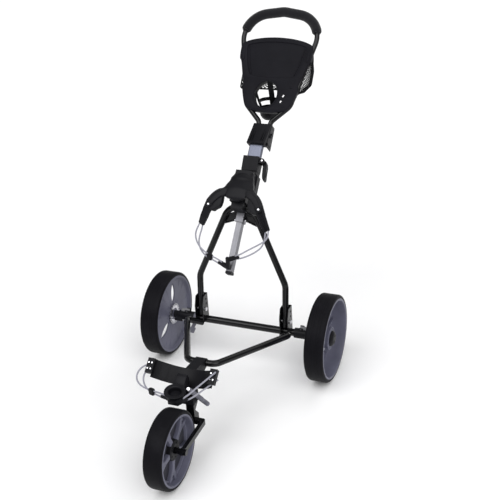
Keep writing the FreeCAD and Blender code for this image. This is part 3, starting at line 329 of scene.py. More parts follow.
def bm_object(name, bm, material, body, at=FLAT, width=0.0, segments=2, **facts):
    """Piece from a bmesh that is drawn in millimetres in the frame at."""
    bmesh.ops.recalc_face_normals(bm, faces=bm.faces)
    bm.transform(at)
    if at.determinant() < 0:
        bmesh.ops.reverse_faces(bm, faces=bm.faces)
    mesh = bpy.data.meshes.new(name)
    bm.to_mesh(mesh)
    bm.free()
    obj = new_object(name, mesh, material, body, **facts)
    soften(obj, width, segments)
    return obj


def add_lathe(bm, profile, centre=(0, 0, 0), steps=96, closed=True):
    """Revolves (along, radius) points about the X axis through centre."""
    cx, cy, cz = centre
    rings = []
    for x, r in profile:
        turns = [2 * math.pi * i / steps for i in range(steps)] if r > 0 else [0]
        rings.append([bm.verts.new((cx + x, cy + r * math.sin(a), cz + r * math.cos(a)))
                      for a in turns])
    for ring, after in zip(rings, rings[1:] + rings[:1] if closed else rings[1:]):
        for k in range(steps):
            n = (k + 1) % steps
            if len(ring) == 1:
                bm.faces.new((ring[0], after[n], after[k]))
            elif len(after) == 1:
                bm.faces.new((ring[k], ring[n], after[0]))
            else:
                bm.faces.new((ring[k], ring[n], after[n], after[k]))
    return [v for ring in rings for v in ring]


def add_box(bm, x0, x1, y0, y1, z0, z1, at=Matrix.Identity(4)):
    made = bmesh.ops.create_cube(bm, size=1.0)["verts"]
    scale = Matrix.Diagonal((x1 - x0, y1 - y0, z1 - z0, 1))
    middle = Matrix.Translation(((x0 + x1) / 2, (y0 + y1) / 2, (z0 + z1) / 2))
    bmesh.ops.transform(bm, matrix=at @ middle @ scale, verts=made)
    return made


def add_rod(bm, a, b, radius, steps=20, tip=None):
    """Round rod from a to b with softly domed ends."""
    a, b = Vector(a), Vector(b)
    tip = radius * 0.35 if tip is None else tip
    length = (b - a).length
    ends = [(0, 0), (0, radius - tip), (tip * 0.3, radius - tip * 0.3), (tip, radius)]
    profile = ends + [(length - x, r) for x, r in reversed(ends)]
    made = add_lathe(bm, profile, steps=steps, closed=False)
    turn = Vector((1, 0, 0)).rotation_difference(b - a).to_matrix().to_4x4()
    bmesh.ops.transform(bm, matrix=Matrix.Translation(a) @ turn, verts=made)
    return made


def join_rings(bm, rings):
    """Closed skin over a row of rings, with a face at each end."""
    count = len(rings[0])
    for ring, after in zip(rings, rings[1:]):
        for k in range(count):
            n = (k + 1) % count
            bm.faces.new((ring[k], ring[n], after[n], after[k]))
    bm.faces.new(rings[0][::-1])
    bm.faces.new(rings[-1])


def add_sweep(bm, path, section, across, scales=None):
    """Sweeps a closed section of (sideways, front) points along a path."""
    rings = []
    for i, here in enumerate(path):
        ahead = (path[min(i + 1, len(path) - 1)] - path[max(i - 1, 0)]).normalized()
        side = (across - ahead * across.dot(ahead)).normalized()
        front = side.cross(ahead)
        size = scales[i] if scales else 1.0
        wide, deep = size if isinstance(size, tuple) else (size, size)
        rings.append([bm.verts.new(here + side * (u * wide) + front * (v * deep))
                      for u, v in section])
    join_rings(bm, rings)
    return bm


def circle(radius, steps=24):
    return [(radius * math.cos(2 * math.pi * i / steps), radius * math.sin(2 * math.pi * i / steps))
            for i in range(steps)]


def arc_path(points, radii, step=6.0):
    """Straight runs joined by tangent arcs, as a list of close points."""
    made = [Vector(points[0])]
    for before, corner, after, radius in zip(points, points[1:], points[2:], radii):
        before, corner, after = Vector(before), Vector(corner), Vector(after)
        u, w = (before - corner).normalized(), (after - corner).normalized()
        half = u.angle(w) / 2
        first = corner + u * (radius / math.tan(half))
        centre = corner + (u + w).normalized() * (radius / math.sin(half))
        sweep = math.pi - 2 * half
        axis = u.cross(w).normalized()
        count = max(3, int(radius * sweep / step))
        made += [centre + Matrix.Rotation(-sweep * i / count, 3, axis) @ (first - centre)
                 for i in range(count + 1)]
    made.append(Vector(points[-1]))
    return made


def rounded_outline(points, times=2):
    """Cuts the corners of a closed outline so that it runs smoothly."""
    for _ in range(times):
        cut = []
        for (ax, ay), (bx, by) in zip(points, points[1:] + points[:1]):
            cut += [(0.8 * ax + 0.2 * bx, 0.8 * ay + 0.2 * by),
                    (0.2 * ax + 0.8 * bx, 0.2 * ay + 0.8 * by)]
        points = cut
    return points


def add_plate(bm, outline, front, back, edge=1.0, holes=(), at=None):
    """Plate of (x, z) outlines between two y planes, its edges rounded all round."""
    curve = bpy.data.curves.new("plate", "CURVE")
    curve.dimensions = "2D"
    curve.fill_mode = "BOTH"
    curve.bevel_depth = edge
    curve.bevel_resolution = 2
    curve.offset = -edge
    curve.extrude = (back - front) / 2 - edge
    for ring in (outline, *holes):
        line = curve.splines.new("POLY")
        line.points.add(len(ring) - 1)
        for p, (x, z) in zip(line.points, ring):
            p.co = (x, z, 0, 1)
        line.use_cyclic_u = True
    holder = bpy.data.objects.new("plate", curve)
    bpy.context.scene.collection.objects.link(holder)
    bpy.context.view_layer.update()
    mesh = bpy.data.meshes.new_from_object(holder)
    bpy.data.objects.remove(holder)
    bpy.data.curves.remove(curve)
    stand = Matrix(((1, 0, 0, 0), (0, 0, -1, (front + back) / 2), (0, 1, 0, 0), (0, 0, 0, 1)))
    mesh.transform((at or Matrix.Identity(4)) @ stand)
    bm.from_mesh(mesh)
    bpy.data.meshes.remove(mesh)
    bmesh.ops.remove_doubles(bm, verts=bm.verts, dist=1e-4)


def thicken(bm, faces, step):
    """Makes a skin of faces into a solid, its other side one step away."""
    made = bmesh.ops.extrude_face_region(bm, geom=faces)["geom"]
    verts = [v for v in made if isinstance(v, bmesh.types.BMVert)]
    bmesh.ops.translate(bm, verts=verts, vec=step)


def mirrored(half):
    """Whole outline from the (x, z) points of its right half, from middle to middle."""
    return half + [(-x, z) for x, z in reversed(half) if x > 0]


def both_sides(points, side):
    return [Vector((side * p[0], p[1], p[2])) for p in points]


# ---------------------------------------------------------------- elastic cords
CORD_D = 5.0
HOOK_R = 6.0


def hook_turn(centre, along):
    """Four corners that carry a cord half a turn round a hook's pin."""
    e = Vector(along).normalized()
    n = Vector((0, 0, 1))
    n = (n - e * n.dot(e)).normalized()
    small = HOOK_R * math.tan(math.pi / 8)
    return [Vector(centre) + e * a + n * b
            for a, b in ((small, HOOK_R), (HOOK_R, small), (HOOK_R, -small), (small, -HOOK_R))]


def elastic(name, body, out, hook, back):
    route = [Vector(p) for p in out] + hook_turn(*hook) + [Vector(p) for p in back]
    curve = bpy.data.curves.new(name, "CURVE")
    curve.dimensions = "3D"
    curve.bevel_depth = CORD_D / 2 * MM
    curve.bevel_resolution = 4
    curve.resolution_u = 8
    curve.use_fill_caps = True
    line = curve.splines.new("NURBS")
    line.points.add(len(route) - 1)
    for p, place in zip(line.points, route):
        p.co = (*(FLAT @ place), 1)
    line.order_u = 3
    line.use_endpoint_u = True
    obj = new_object(name, curve, ELASTIC, body, replaces=(name.removeprefix("elastic_"),),
                     slot="elastic")


elastic("elastic_upper_cord_left", "mast",
        [(-117, -29, 527), (-125, -36, 511), (-129, -46, 493), (-122, -57, 473), (-105, -67, 456),
         (-84, -75, 446), (-64, -80, 440), (-48, -84, 436), (-37, -86, 433)],
        ((-30, -88, 424), (0.93, -0.17, -0.33)),
        [(-41, -86, 422), (-52, -84, 426), (-71, -80, 430), (-91, -74, 438), (-107, -66, 454),
         (-114, -57, 473), (-113, -46, 492), (-109, -36, 508), (-107, -29, 524)])
elastic("elastic_upper_cord_right", "mast",
        [(117, -29, 527), (119, -38, 512), (112, -50, 500), (96, -60, 490), (76, -69, 480),
         (57, -77, 470), (44, -82, 462), (36, -84, 458)],
        ((30, -86, 450), (-0.93, -0.20, -0.30)),
        [(40, -84, 446), (50, -81, 449), (67, -75, 456), (86, -67, 466), (101, -57, 478),
         (107, -47, 492), (108, -37, 507), (107, -29, 524)])
elastic("elastic_lower_cord_left", "front_assembly",
        [(-104, -470, 272), (-122, -479, 267), (-134, -491, 255), (-137, -503, 241),
         (-127, -515, 231), (-108, -525, 227), (-84, -533, 227), (-60, -538, 228),
         (-44, -541, 229)],
        ((-32, -543, 222), (0.98, -0.10, -0.12)),
        [(-44, -541, 217), (-60, -537, 218), (-82, -530, 219), (-100, -520, 224),
         (-112, -508, 233), (-116, -495, 246), (-110, -484, 256), (-100, -474, 262)])
elastic("elastic_lower_cord_right", "front_assembly",
        [(109, -474, 287), (85, -499, 268), (62, -520, 250), (49, -532, 238)],
        ((40, -541, 226), (-0.72, -0.60, -0.30)),
        [(55, -531, 225), (70, -515, 234), (92, -493, 247), (113, -471, 259)])


def ferrule(name, body, middle, along, half_x, half_z, length):
    """Moulded clip that holds the two strands of a doubled cord together."""
    e = Vector(along).normalized()
    n = Vector((0, 0, 1))
    n = (n - e * n.dot(e)).normalized()
    turn = Matrix((e, e.cross(n) * -1, n)).transposed().to_4x4()
    bm = bmesh.new()
    add_box(bm, -length / 2, length / 2, -half_x, half_x, -half_z, half_z)
    add_box(bm, -length / 2 + 3, length / 2 - 3, -half_x - 1, half_x + 1, -half_z - 1, half_z + 1)
    at = FLAT @ Matrix.Translation(middle) @ turn
    bm_object(name, bm, BLACK, body, at, 1.0, slot="black_plastic")


ferrule("upper_ferrule", "mast", (-68, -80.5, 435.5), (0.95, -0.23, -0.2), 4.2, 9.0, 20)
ferrule("lower_ferrule", "front_assembly", (-72, -534.5, 223), (0.96, -0.28, 0.02), 4.2, 9.0, 20)


# ---------------------------------------------------------------- wheels
def tyre_profile(radius, half, seat, grooves=()):
    """Closed outline of a tyre: rounded shoulders, fine grooves and a bead."""
    shoulder = 9.0
    out = [(-half + 3, seat), (half - 3, seat), (half - 3, radius - 11), (half - 0.6, radius - 11),
           (half, radius - 10)]
    turns = [math.radians(a) for a in (0, 18, 36, 54, 72, 90)]
    out += [(half - shoulder + shoulder * math.cos(a), radius - shoulder + shoulder * math.sin(a))
            for a in turns]
    tread = []
    for place in grooves:
        x = place * (half - shoulder)
        tread += [(x + 0.8, radius), (x + 0.4, radius - 0.5), (x - 0.4, radius - 0.5),
                  (x - 0.8, radius)]
    left = [(-x, r) for x, r in reversed(out[2:])]
    return out + tread + left


def lens_half_angle(radius, low, high, width):
    """Half the angle that a lens-shaped gap spans at a radius."""
    if not low < radius < high:
        return 0.0
    middle, reach = (low + high) / 2, (high - low) / 2
    bow = (reach ** 2 + (width / 2) ** 2) / width
    offset = math.sqrt(max(bow ** 2 - (radius - middle) ** 2, 0)) - (bow - width / 2)
    return math.asin(min(max(offset, 0) / radius, 1.0))


def add_pierced_disc(bm, x, gaps, hub, rim, gap_low, gap_high, gap_width, thick, crown):
    """Disc with lens-shaped gaps, its outer face crowned, as a closed solid."""
    radii = sorted({hub, rim, gap_low, gap_high}
                   | {hub + (rim - hub) * i / 26 for i in range(1, 26)})
    steps = 16
    faces = []
    for k, gap in enumerate(gaps):
        start, end = math.radians(gap), math.radians(gaps[(k + 1) % len(gaps)])
        end += 2 * math.pi if end < start else 0
        grid = []
        for r in radii:
            cut = lens_half_angle(r, gap_low, gap_high, gap_width)
            rise = crown * math.sin(math.pi * (r - hub) / (rim - hub))
            row = []
            for i in range(steps + 1):
                a = start + cut + (end - start - 2 * cut) * i / steps
                row.append(bm.verts.new((x + rise, -r * math.sin(a), r * math.cos(a))))
            grid.append(row)
        for low, high in zip(grid, grid[1:]):
            for i in range(steps):
                faces.append(bm.faces.new((low[i], low[i + 1], high[i + 1], high[i])))
    bmesh.ops.remove_doubles(bm, verts=list({v for f in faces for v in f.verts}), dist=0.02)
    faces = [f for f in faces if f.is_valid]
    thicken(bm, faces, (-thick, 0, 0))


def turned(degrees):
    """Turn about a wheel's axle."""
    return Matrix.Rotation(math.radians(degrees), 4, "X")


def side_frame(x, sign, z):
    """Frame of a wheel: local +x points outwards on either side."""
    return FLAT @ Matrix.Translation((x, 0, z)) @ Matrix.Diagonal((sign, 1, 1, 1))


REAR_R, REAR_HALF, REAR_Z, REAR_X = 145.0, 32.0, 145.0, 289.0
REAR_GAPS, REAR_RIBS, RIM_TURN = (-9, 111, 231), (51, 171, 291), -21
RIM_LIP = 134.0
HUB_TEETH, CAP_BARS = 12, 6
FRONT_SPOKES = 5


def rear_wheel(side, sign):
    """Tyre, rim and hub cap; the rim is a barrel, a dished disc, a hub flange and a bore."""
    at = side_frame(sign * REAR_X, sign, REAR_Z)
    body = f"rear_wheel_{side}"
    bm = bmesh.new()
    add_lathe(bm, tyre_profile(REAR_R, REAR_HALF, RIM_LIP - 3, (0.66, 0.3, -0.3, -0.66)), steps=128)
    bm_object(f"tyre_{side}", bm, TYRE, body, at, replaces=(f"rear_tyre_{side}",), slot="tyre")
    turn = RIM_TURN * (sign > 0)
    gaps = [g + turn for g in REAR_GAPS]
    bm = bmesh.new()
    add_lathe(bm, [(-32, 127.6), (-32, 133.2), (-31.2, 134), (-29, 134), (-29, 131.02),
                   (29, 131.02), (29, 134), (31.2, 134), (32, 133.2), (32, 128.4), (31, 126.8),
                   (28, 126), (10, 124.4), (-14, 122.6), (-17.6, 121), (-19, 118), (-22, 118),
                   (-24.6, 121), (-26, 123.6), (-29, 125.4), (-31, 126.4)], steps=128)
    add_pierced_disc(bm, -18.2, gaps, 26, 120, 39, 112, 26, 5.6, -1.6)
    add_lathe(bm, [(-21, 24), (-21, 33), (-14, 32.2), (13, 37), (17.2, 37), (18, 36.2), (18, 33.6),
                   (17, 33), (17, 30), (18, 29.4), (18, 19.6), (14, 19.6), (14, 32), (-17, 27)],
              steps=72)
    add_lathe(bm, [(-30, 11.05), (22, 11.05), (22, 20), (-25, 20), (-25, 24), (-25.8, 25),
                   (-26, 20), (-30, 20)], steps=64)
    for rib in REAR_RIBS:
        add_box(bm, -19, -10, -2.2, 2.2, 30, 122, turned(rib + turn))
        for lean in (-34, -17, 17, 34):
            add_box(bm, -25.6, -23.6, -0.9, 0.9, 40, 116, turned(rib + turn + lean))
    for k in range(HUB_TEETH):
        add_box(bm, 12, 18.8, -1.1, 1.1, 27, 35, turned(360 / HUB_TEETH * k))
    bm_object(f"rim_{side}", bm, GREY, body, at, 0.6, replaces=(f"rear_rim_{side}",),
              slot="grey_plastic")
    bm = bmesh.new()
    add_lathe(bm, [(19.4, 0), (19.2, 24.2), (19.2, 26), (21.2, 26), (26, 22), (28.6, 18),
                   (29.5, 15), (29.5, 2), (29, 0)], steps=72, closed=False)
    for k in range(CAP_BARS):
        add_box(bm, 27, 30.2, -1.2, 1.2, 6, 16, turned(360 / CAP_BARS * k))
    bm_object(f"cap_{side}", bm, BLACK, body, at, 0.5, replaces=(f"hub_cap_{side}",),
              slot="black_plastic")


for side, sign in (("left", -1), ("right", 1)):
    rear_wheel(side, sign)

FRONT_R, FRONT_HALF, FRONT_X, FRONT_Y = 116.0, 29.0, 24.0, -638.0
FRONT_AT = FLAT @ Matrix.Translation((FRONT_X, FRONT_Y, FRONT_R))
Y_SPOKE = [(-9, 26), (-7, 50), (-10, 64), (-23, 92), (-21, 98), (-13, 99), (-3, 76), (3, 76),
           (13, 99), (21, 98), (23, 92), (10, 64), (7, 50), (9, 26)]


def front_wheel():
    """Tyre, five-spoked rim, a dark sheet of painted shade in the pockets between its spokes, and
    the hub's cover.
    """
    bm = bmesh.new()
    add_lathe(bm, tyre_profile(FRONT_R, FRONT_HALF, 102), steps=128)
    bm_object("tyre_front", bm, TYRE, "front_wheel", FRONT_AT, replaces=("front_tyre",),
              slot="tyre")
    bm = bmesh.new()
    add_lathe(bm, [(-29, 97.5), (-29, 104.2), (-28.2, 105), (-26, 105), (-26, 102.02), (26, 102.02),
                   (26, 105), (28.2, 105), (29, 104.2), (29, 100), (28, 98.4), (24, 97.4),
                   (14, 96), (4, 94), (-4, 93.5), (-6, 95), (-28, 96.4)], steps=128)
    add_lathe(bm, [(-3, 18), (3, 18), (3, 94.5), (-3, 94.5)], steps=96)
    add_lathe(bm, [(3, 86), (10, 88), (11, 90), (11, 94), (3, 95.5)], steps=96)
    add_lathe(bm, [(-15, 11.05), (7, 11.05), (7, 20), (-15, 20)], steps=48)
    pitch = 360 / FRONT_SPOKES
    for k in range(FRONT_SPOKES):
        lay = turned(20 + pitch * k) @ Matrix.Rotation(math.radians(90), 4, "Z")
        add_plate(bm, rounded_outline(Y_SPOKE, 1), -15, -2.5, 1.6, at=lay)
        add_box(bm, -11, -2, -2.5, 2.5, 19, 95, turned(20 + pitch * (k + 0.5)))
    bm_object("rim_front", bm, GREY, "front_wheel", FRONT_AT, 0.5, replaces=("front_rim",),
              slot="grey_plastic")
    # Thin dark disc on the rim's web between the spokes: painted shade in the pockets.
    bm = bmesh.new()
    add_lathe(bm, [(3.1, 30), (3.5, 30.4), (3.5, 92), (3.1, 92.4)], steps=96)
    bm_object("painted_shade_pockets_front", bm, POCKET_SHADE, "front_wheel", FRONT_AT, slot="grey_plastic")
    bm = bmesh.new()
    add_lathe(bm, [(7.2, 10), (15.4, 10), (17.4, 14), (17.4, 27), (15.6, 30.6), (4, 32), (3.1, 30),
                   (3.1, 21)], steps=64)
    for k in range(FRONT_SPOKES):
        spot = turned(-pitch * (k + 0.5)) @ Vector((16, 0, 22))
        add_rod(bm, spot, spot + Vector((3, 0, 0)), 2.6)
    bm_object("hub_front", bm, BLACK, "front_wheel", FRONT_AT, 0.4, slot="black_plastic")


front_wheel()


# ---------------------------------------------------------------- upper bag bracket
def add_shell(bm, columns, rows, front_of, z_of, thick):
    """Curved shell: front_of(u, v) gives (x, y), z_of(u, v) the height; closed at its back."""
    grid = []
    for j in range(rows + 1):
        v = j / rows
        row = []
        for i in range(columns + 1):
            u = -1 + 2 * i / columns
            z = z_of(u, v)
            x, y = front_of(u, z)
            row.append(bm.verts.new((x, y, z)))
        grid.append(row)
    faces = []
    for low, high in zip(grid, grid[1:]):
        for i in range(columns):
            faces.append(bm.faces.new((low[i], low[i + 1], high[i + 1], high[i])))
    thicken(bm, faces, (0, thick, 0))


def between(table, z):
    """Value at z from a table of (z, value) that runs downwards."""
    for (z1, a), (z0, b) in zip(table, table[1:]):
        if z >= z0:
            t = min(max((z1 - z) / (z1 - z0), 0), 1)
            t = t * t * (3 - 2 * t)
            return a + (b - a) * t
    return table[-1][1]


# (height, value) pairs down the shroud's face; SHROUD_LOW is (share of the width, low edge).
SHROUD_WIDTH = [(177, 26), (160, 32), (140, 38), (112, 47), (92, 62), (80, 74), (66, 79), (50, 78)]
SHROUD_FRONT = [(177, -57), (170, -64), (140, -77), (98, -91), (74, -91), (54, -84)]
SHROUD_LOW = [(1.0, 78), (0.9, 72), (0.78, 74), (0.62, 86), (0.5, 86), (0.4, 70), (0.0, 61)]


def shroud_front(u, z):
    wide = between(SHROUD_WIDTH, z)
    edge = abs(u) ** 2.6
    drop = 10 + (177 - z) * 0.05
    return u * wide, between(SHROUD_FRONT, z) + drop * edge


def shroud_low(u, v):
    return 176 + (between(SHROUD_LOW, abs(u)) - 176) * v


def make_shroud():
    """Curved face of the bag bracket, with the socket and side walls behind it."""
    bm = bmesh.new()
    add_shell(bm, 44, 26, shroud_front, shroud_low, 15)
    add_box(bm, -27, 27, -66, -12.5, 66, 172)
    add_box(bm, -20, 20, -62, -12.5, 44, 80)
    add_box(bm, -31, -23.6, -13, 14.5, 66, 174)
    add_box(bm, 23.6, 31, -13, 14.5, 66, 174)
    for s in (-1, 1):
        for reach, back, low, high in ((48, -58, 92, 96), (56, -60, 82, 85)):
            near, far = sorted((s * 30, s * reach))
            add_box(bm, near, far, -74, back, low, high)
    bm_object("bag_shroud", bm, BLACK, "mast", COLUMN, 1.6, 3, replaces=("bag_bracket",),
              slot="black_plastic")


make_shroud()

# Each arm is plates of (x, z) outlines down to its elbow and a grooved finger below it.
LOWER_ARM = [(82, -83, 50), (93, -72, 24), (102, -61, 4), (112, -47, -15)]
ARM_TOP = [(30, 100), (52, 99), (71, 89), (85, 73), (97, 52), (88, 34), (74, 42), (62, 58),
           (50, 70), (34, 76)]
ARM_WEB = [(44, 78), (43, 58), (46, 40), (58, 32), (66, 24), (82, 26), (90, 46), (70, 70)]
ARM_RIM = [(53, 98), (70, 88), (83, 72), (94, 52), (90, 44), (82, 58), (70, 77), (52, 90)]
FINGER = [(-12, -4), (-10, -7), (-5.5, -7), (-4.5, -4), (-1.5, -4), (-0.5, -7), (0.5, -7),
          (1.5, -4), (4.5, -4), (5.5, -7), (10, -7), (12, -4), (12, 5), (10, 7), (-10, 7),
          (-12, 5)]
FINGER_TIP = (0.9, 0.8)


def make_arm(name, sign):
    """Arm of the bag bracket on one side, with its rivet."""
    bm = bmesh.new()
    across = Vector((sign * 0.8, 0, 0.6))
    for outline, front, back, edge in ((ARM_TOP, -91, -74, 2.4), (ARM_WEB, -86, -66, 2.0),
                                       (ARM_RIM, -93, -84, 1.2)):
        ring = rounded_outline([(sign * x, z) for x, z in outline][::sign], 1)
        add_plate(bm, ring, front, back, edge)
    path = arc_path(both_sides(LOWER_ARM, sign), [50, 60], 4)
    count = len(path)
    shares = [i / (count - 1) for i in range(count)]
    sizes = [(1.18 - 0.14 * share, 1.1 - 0.12 * share) for share in shares]
    sizes[-1] = FINGER_TIP
    add_sweep(bm, path, FINGER, across, sizes)
    ear = Vector((sign * 85, -91, 40))
    add_rod(bm, ear, ear + Vector((0, 12, 0)), 10)
    bm_object(name + "_cover", bm, BLACK, "mast", COLUMN, 0.8, replaces=(name,),
              slot="black_plastic")
    bm = bmesh.new()
    add_rod(bm, ear + Vector((0, -2.2, 0)), ear + Vector((0, 4, 0)), 4.6, tip=2.0)
    bm_object(name + "_rivet", bm, ZINC, "mast", COLUMN, slot="zinc_steel")


make_arm("bag_arm_left", -1)
make_arm("bag_arm_right", 1)

WISHBONE = leaning(-5, 187, 6.5)
CHEVRON = [(0, 366), (20, 364), (42, 353), (66, 335), (67, 314), (44, 322), (20, 331), (0, 334)]


def make_brace():
    """Folded gusset from leg to leg behind the column's sleeve."""
    bm = bmesh.new()
    add_plate(bm, mirrored(CHEVRON), 3, 7, 1.2)
    rim = mirrored([(0, 366), (20, 364), (42, 353), (66, 335), (64, 331), (41, 349), (19, 360),
                    (0, 362)])
    low = mirrored([(0, 338), (20, 335), (44, 326), (66, 318), (67, 314), (44, 322), (20, 331),
                    (0, 334)])
    for ring in (rim, low):
        add_plate(bm, ring, -1, 6, 1.0)
    for x in (-55, 55):
        add_rod(bm, (x, 1, 328), (x, 6, 328), 4.0, 24)
    bm_object("gusset", bm, PAINT, "mast", WISHBONE, replaces=("cross_brace",),
              slot="black_paint")


make_brace()


def side_plate(bm, outline, x0, x1, edge):
    """Plate of (y, z) outline between two x planes."""
    turn = Matrix.Rotation(math.radians(90), 4, "Z")
    add_plate(bm, outline, -x1, -x0, edge, at=turn)


def make_handle_bracket():
    """Shells of the handle's block: two ribbed cheeks and a ridged face between them."""
    bm = bmesh.new()
    cheek = [(-18, 284), (-16, 282), (50, 282), (52, 286), (49, 360), (46, 364), (12, 364),
             (8, 360)]
    rib = [(2, 296), (6, 292), (44, 292), (44, 300), (12, 302), (20, 356), (14, 358)]
    for s in (-1, 1):
        side_plate(bm, cheek, *sorted((s * 28.6, s * 31)), 1.0)
        side_plate(bm, rib, *sorted((s * 30, s * 32.4)), 0.8)
        for y, z in ((6, 291), (18, 322)):
            add_rod(bm, (s * 30, y, z), (s * 36.5, y, z), 5.2, 24)
    face = [(-20.5, 283), (-18.5, 282), (-13.5, 282), (-9, 300), (14, 363), (10.5, 364), (8.8, 362)]
    side_plate(bm, face, -30.8, 30.8, 0.9)
    ridge = [(-21.6, 296), (-20.2, 294), (-12, 296), (9, 354), (6.6, 355)]
    for x in (-22, -15, 15, 22):
        side_plate(bm, ridge, x - 0.9, x + 0.9, 0.6)
    add_box(bm, -29, -23.6, -15, 13, 282.5, 300)
    add_box(bm, 23.6, 29, -15, 13, 282.5, 300)
    add_box(bm, -29, 29, 9.6, 13.5, 282.5, 300)
    bm_object("bracket_cover", bm, BLACK, "column", COLUMN, 0.0, replaces=("handle_bracket",),
              slot="black_plastic")


make_handle_bracket()


def make_lever():
    """Cam lever: round head on its pin and a broad curved paddle down the clamp's side."""
    bm = bmesh.new()
    path = [Vector(p) for p in ((38.5, 1, 226), (42.5, 1, 218), (45, 1, 206), (46, 1, 192),
                                (47, 1, 180), (49, 1, 170), (51.5, 1, 162))]
    section = [(-11, -2.4), (-9.4, -3.2), (9.4, -3.2), (11, -2.4), (11, 1.6), (9.4, 2.6),
               (-9.4, 2.6), (-11, 1.6)]
    sizes = [(0.75, 1.9), (0.9, 2.3), (1, 2.3), (1, 2.1), (1.05, 1.9), (1.1, 1.7), (0.95, 1.0)]
    add_sweep(bm, path, section, Vector((0, 1, 0)), sizes)
    add_rod(bm, (36, -12, 224), (36, 10, 224), 7.6, 32)
    for y in (-4, 1, 6):
        add_rod(bm, (51.2, y, 198), (53.6, y, 174), 1.2, 8)
    bm_object("lever_paddle", bm, BLACK, "cam", COLUMN, 0.7, replaces=("cam_lever",),
              slot="black_plastic")


make_lever()

# ---------------------------------------------------------------- handle grip and console
LOOP = [(-78, 0, 66), (-148, 0, 373.6), (0, 0, 396.6), (148, 0, 373.6), (78, 0, 66)]
GRIP_R = 16.5
CORNER_R, PEAK_R = 85.0, 60.0
GRIP_START = 41.31


def make_grip():
    """Foam over the loop's top, from a place just past the start of each corner."""
    whole = arc_path(LOOP, [CORNER_R, PEAK_R, CORNER_R], 3.0)[1:-1]
    skip = next(i for i, p in enumerate(whole) if (p - whole[0]).length > GRIP_START)
    path = whole[skip:len(whole) - skip]
    sizes = [1.0] * len(path)
    for k, size in enumerate((0.90, 0.96, 0.99)):
        sizes[k] = sizes[-1 - k] = size
    bm = add_sweep(bmesh.new(), path, circle(GRIP_R, 40), Vector((0, 1, 0)), sizes)
    obj = bm_object("grip_foam", bm, FOAM, "handle", HANDLE, replaces=("foam_grip",), slot="foam")
    bm = bmesh.new()
    for end, near in ((path[0], path[1]), (path[-1], path[-2])):
        out = (end - near).normalized()
        add_rod(bm, end - out * 1.0, end + out * 5.5, 11.6, 32, tip=2.2)
    bm_object("grip_collars", bm, BLACK, "handle", HANDLE, slot="black_plastic")


make_grip()

PANEL = [(0, 301), (50, 298), (92, 290), (120, 279), (128, 268), (127, 222), (119, 214),
         (105, 160), (97, 140), (97, 128), (99, 118), (88, 80), (78, 56), (64, 44), (0, 36)]
FIELD = [(0, 284), (56, 281), (100, 271), (106, 262), (94, 200), (82, 170), (74, 162), (0, 158)]
FIELD_RIB = [(98, 266), (101, 264), (88, 196), (77, 168), (74, 170), (84, 196)]
SIDE_PAD = [(112, 262), (121, 264), (121, 226), (115, 214), (108, 218)]
CUP_X, CUP_Z, CUP_W, CUP_H = -10.0, 100.0, 40.0, 46.0
PANEL_FRONT, PANEL_BACK = -13.0, 5.0


def oval(grow, steps=72):
    return [(CUP_X + (CUP_W + grow) * math.cos(2 * math.pi * i / steps),
             CUP_Z + (CUP_H + grow) * math.sin(2 * math.pi * i / steps)) for i in range(steps)]


def slot_ring(x, z, wide, high, lean=0.0):
    ring = rounded_outline([(-wide, -high), (wide, -high), (wide, high), (-wide, high)], 2)
    c, s = math.cos(lean), math.sin(lean)
    return [(x + c * u - s * v, z + s * u + c * v) for u, v in ring]


PANEL_MIDDLE_Z, PANEL_HALF_W, PANEL_HALF_H = 170.0, 95.0, 128.0


def inset(outline, amount):
    """Outline drawn in by about amount on every side."""
    return [(x * (1 - amount / PANEL_HALF_W),
             PANEL_MIDDLE_Z + (z - PANEL_MIDDLE_Z) * (1 - amount / PANEL_HALF_H))
            for x, z in outline]


def make_console():
    """Panel with a sunk field, ribs beside it, two slots and the cup's oval hole."""
    outline = rounded_outline(mirrored(PANEL), 2)
    field = rounded_outline(mirrored(FIELD), 2)
    slots = [slot_ring(52, 98, 3.2, 4.6, -0.5), slot_ring(46, 78, 3.0, 4.2, -0.5)]
    bm = bmesh.new()
    add_plate(bm, inset(outline, 1.5), PANEL_FRONT + 2.2, PANEL_FRONT + 4.6, 0.6,
              [oval(0), *slots])
    add_plate(bm, outline, PANEL_FRONT, PANEL_FRONT + 3.4, 1.5, [field, oval(1.5), *slots])
    add_plate(bm, outline, PANEL_FRONT + 1.6, PANEL_BACK, 1.0, [inset(outline, 3.4)])
    add_plate(bm, oval(4.0), PANEL_FRONT - 1.4, PANEL_FRONT + 6, 1.2, [oval(-0.5)])
    for side in (-1, 1):
        rib = [(side * x, z) for x, z in FIELD_RIB][::side]
        add_plate(bm, rounded_outline(rib, 1), PANEL_FRONT, PANEL_FRONT + 3, 0.7)
        pad = [(side * x, z) for x, z in SIDE_PAD][::side]
        add_plate(bm, rounded_outline(pad, 2), PANEL_FRONT - 1.6, PANEL_FRONT + 2, 1.2)
    add_rod(bm, (74, PANEL_FRONT - 1.2, 128), (74, PANEL_FRONT + 2, 128), 5.0, 28)
    for x, z in ((-60, 56), (60, 60), (0, 48)):
        add_rod(bm, (x, PANEL_FRONT - 0.6, z), (x, PANEL_FRONT + 2, z), 3.0, 20)
    bm_object("console_cover", bm, BLACK_PANEL, "handle", HANDLE, replaces=("console_panel",),
              slot="black_plastic")


make_console()

CUP_R, CUP_DEPTH = 33.0, 78.0
CUP_STAVES = ((20, 5), (84, 10), (165, 5), (215, 5), (270, 6), (325, 5))   # angle, half width
BAND_HEIGHT = 62.0


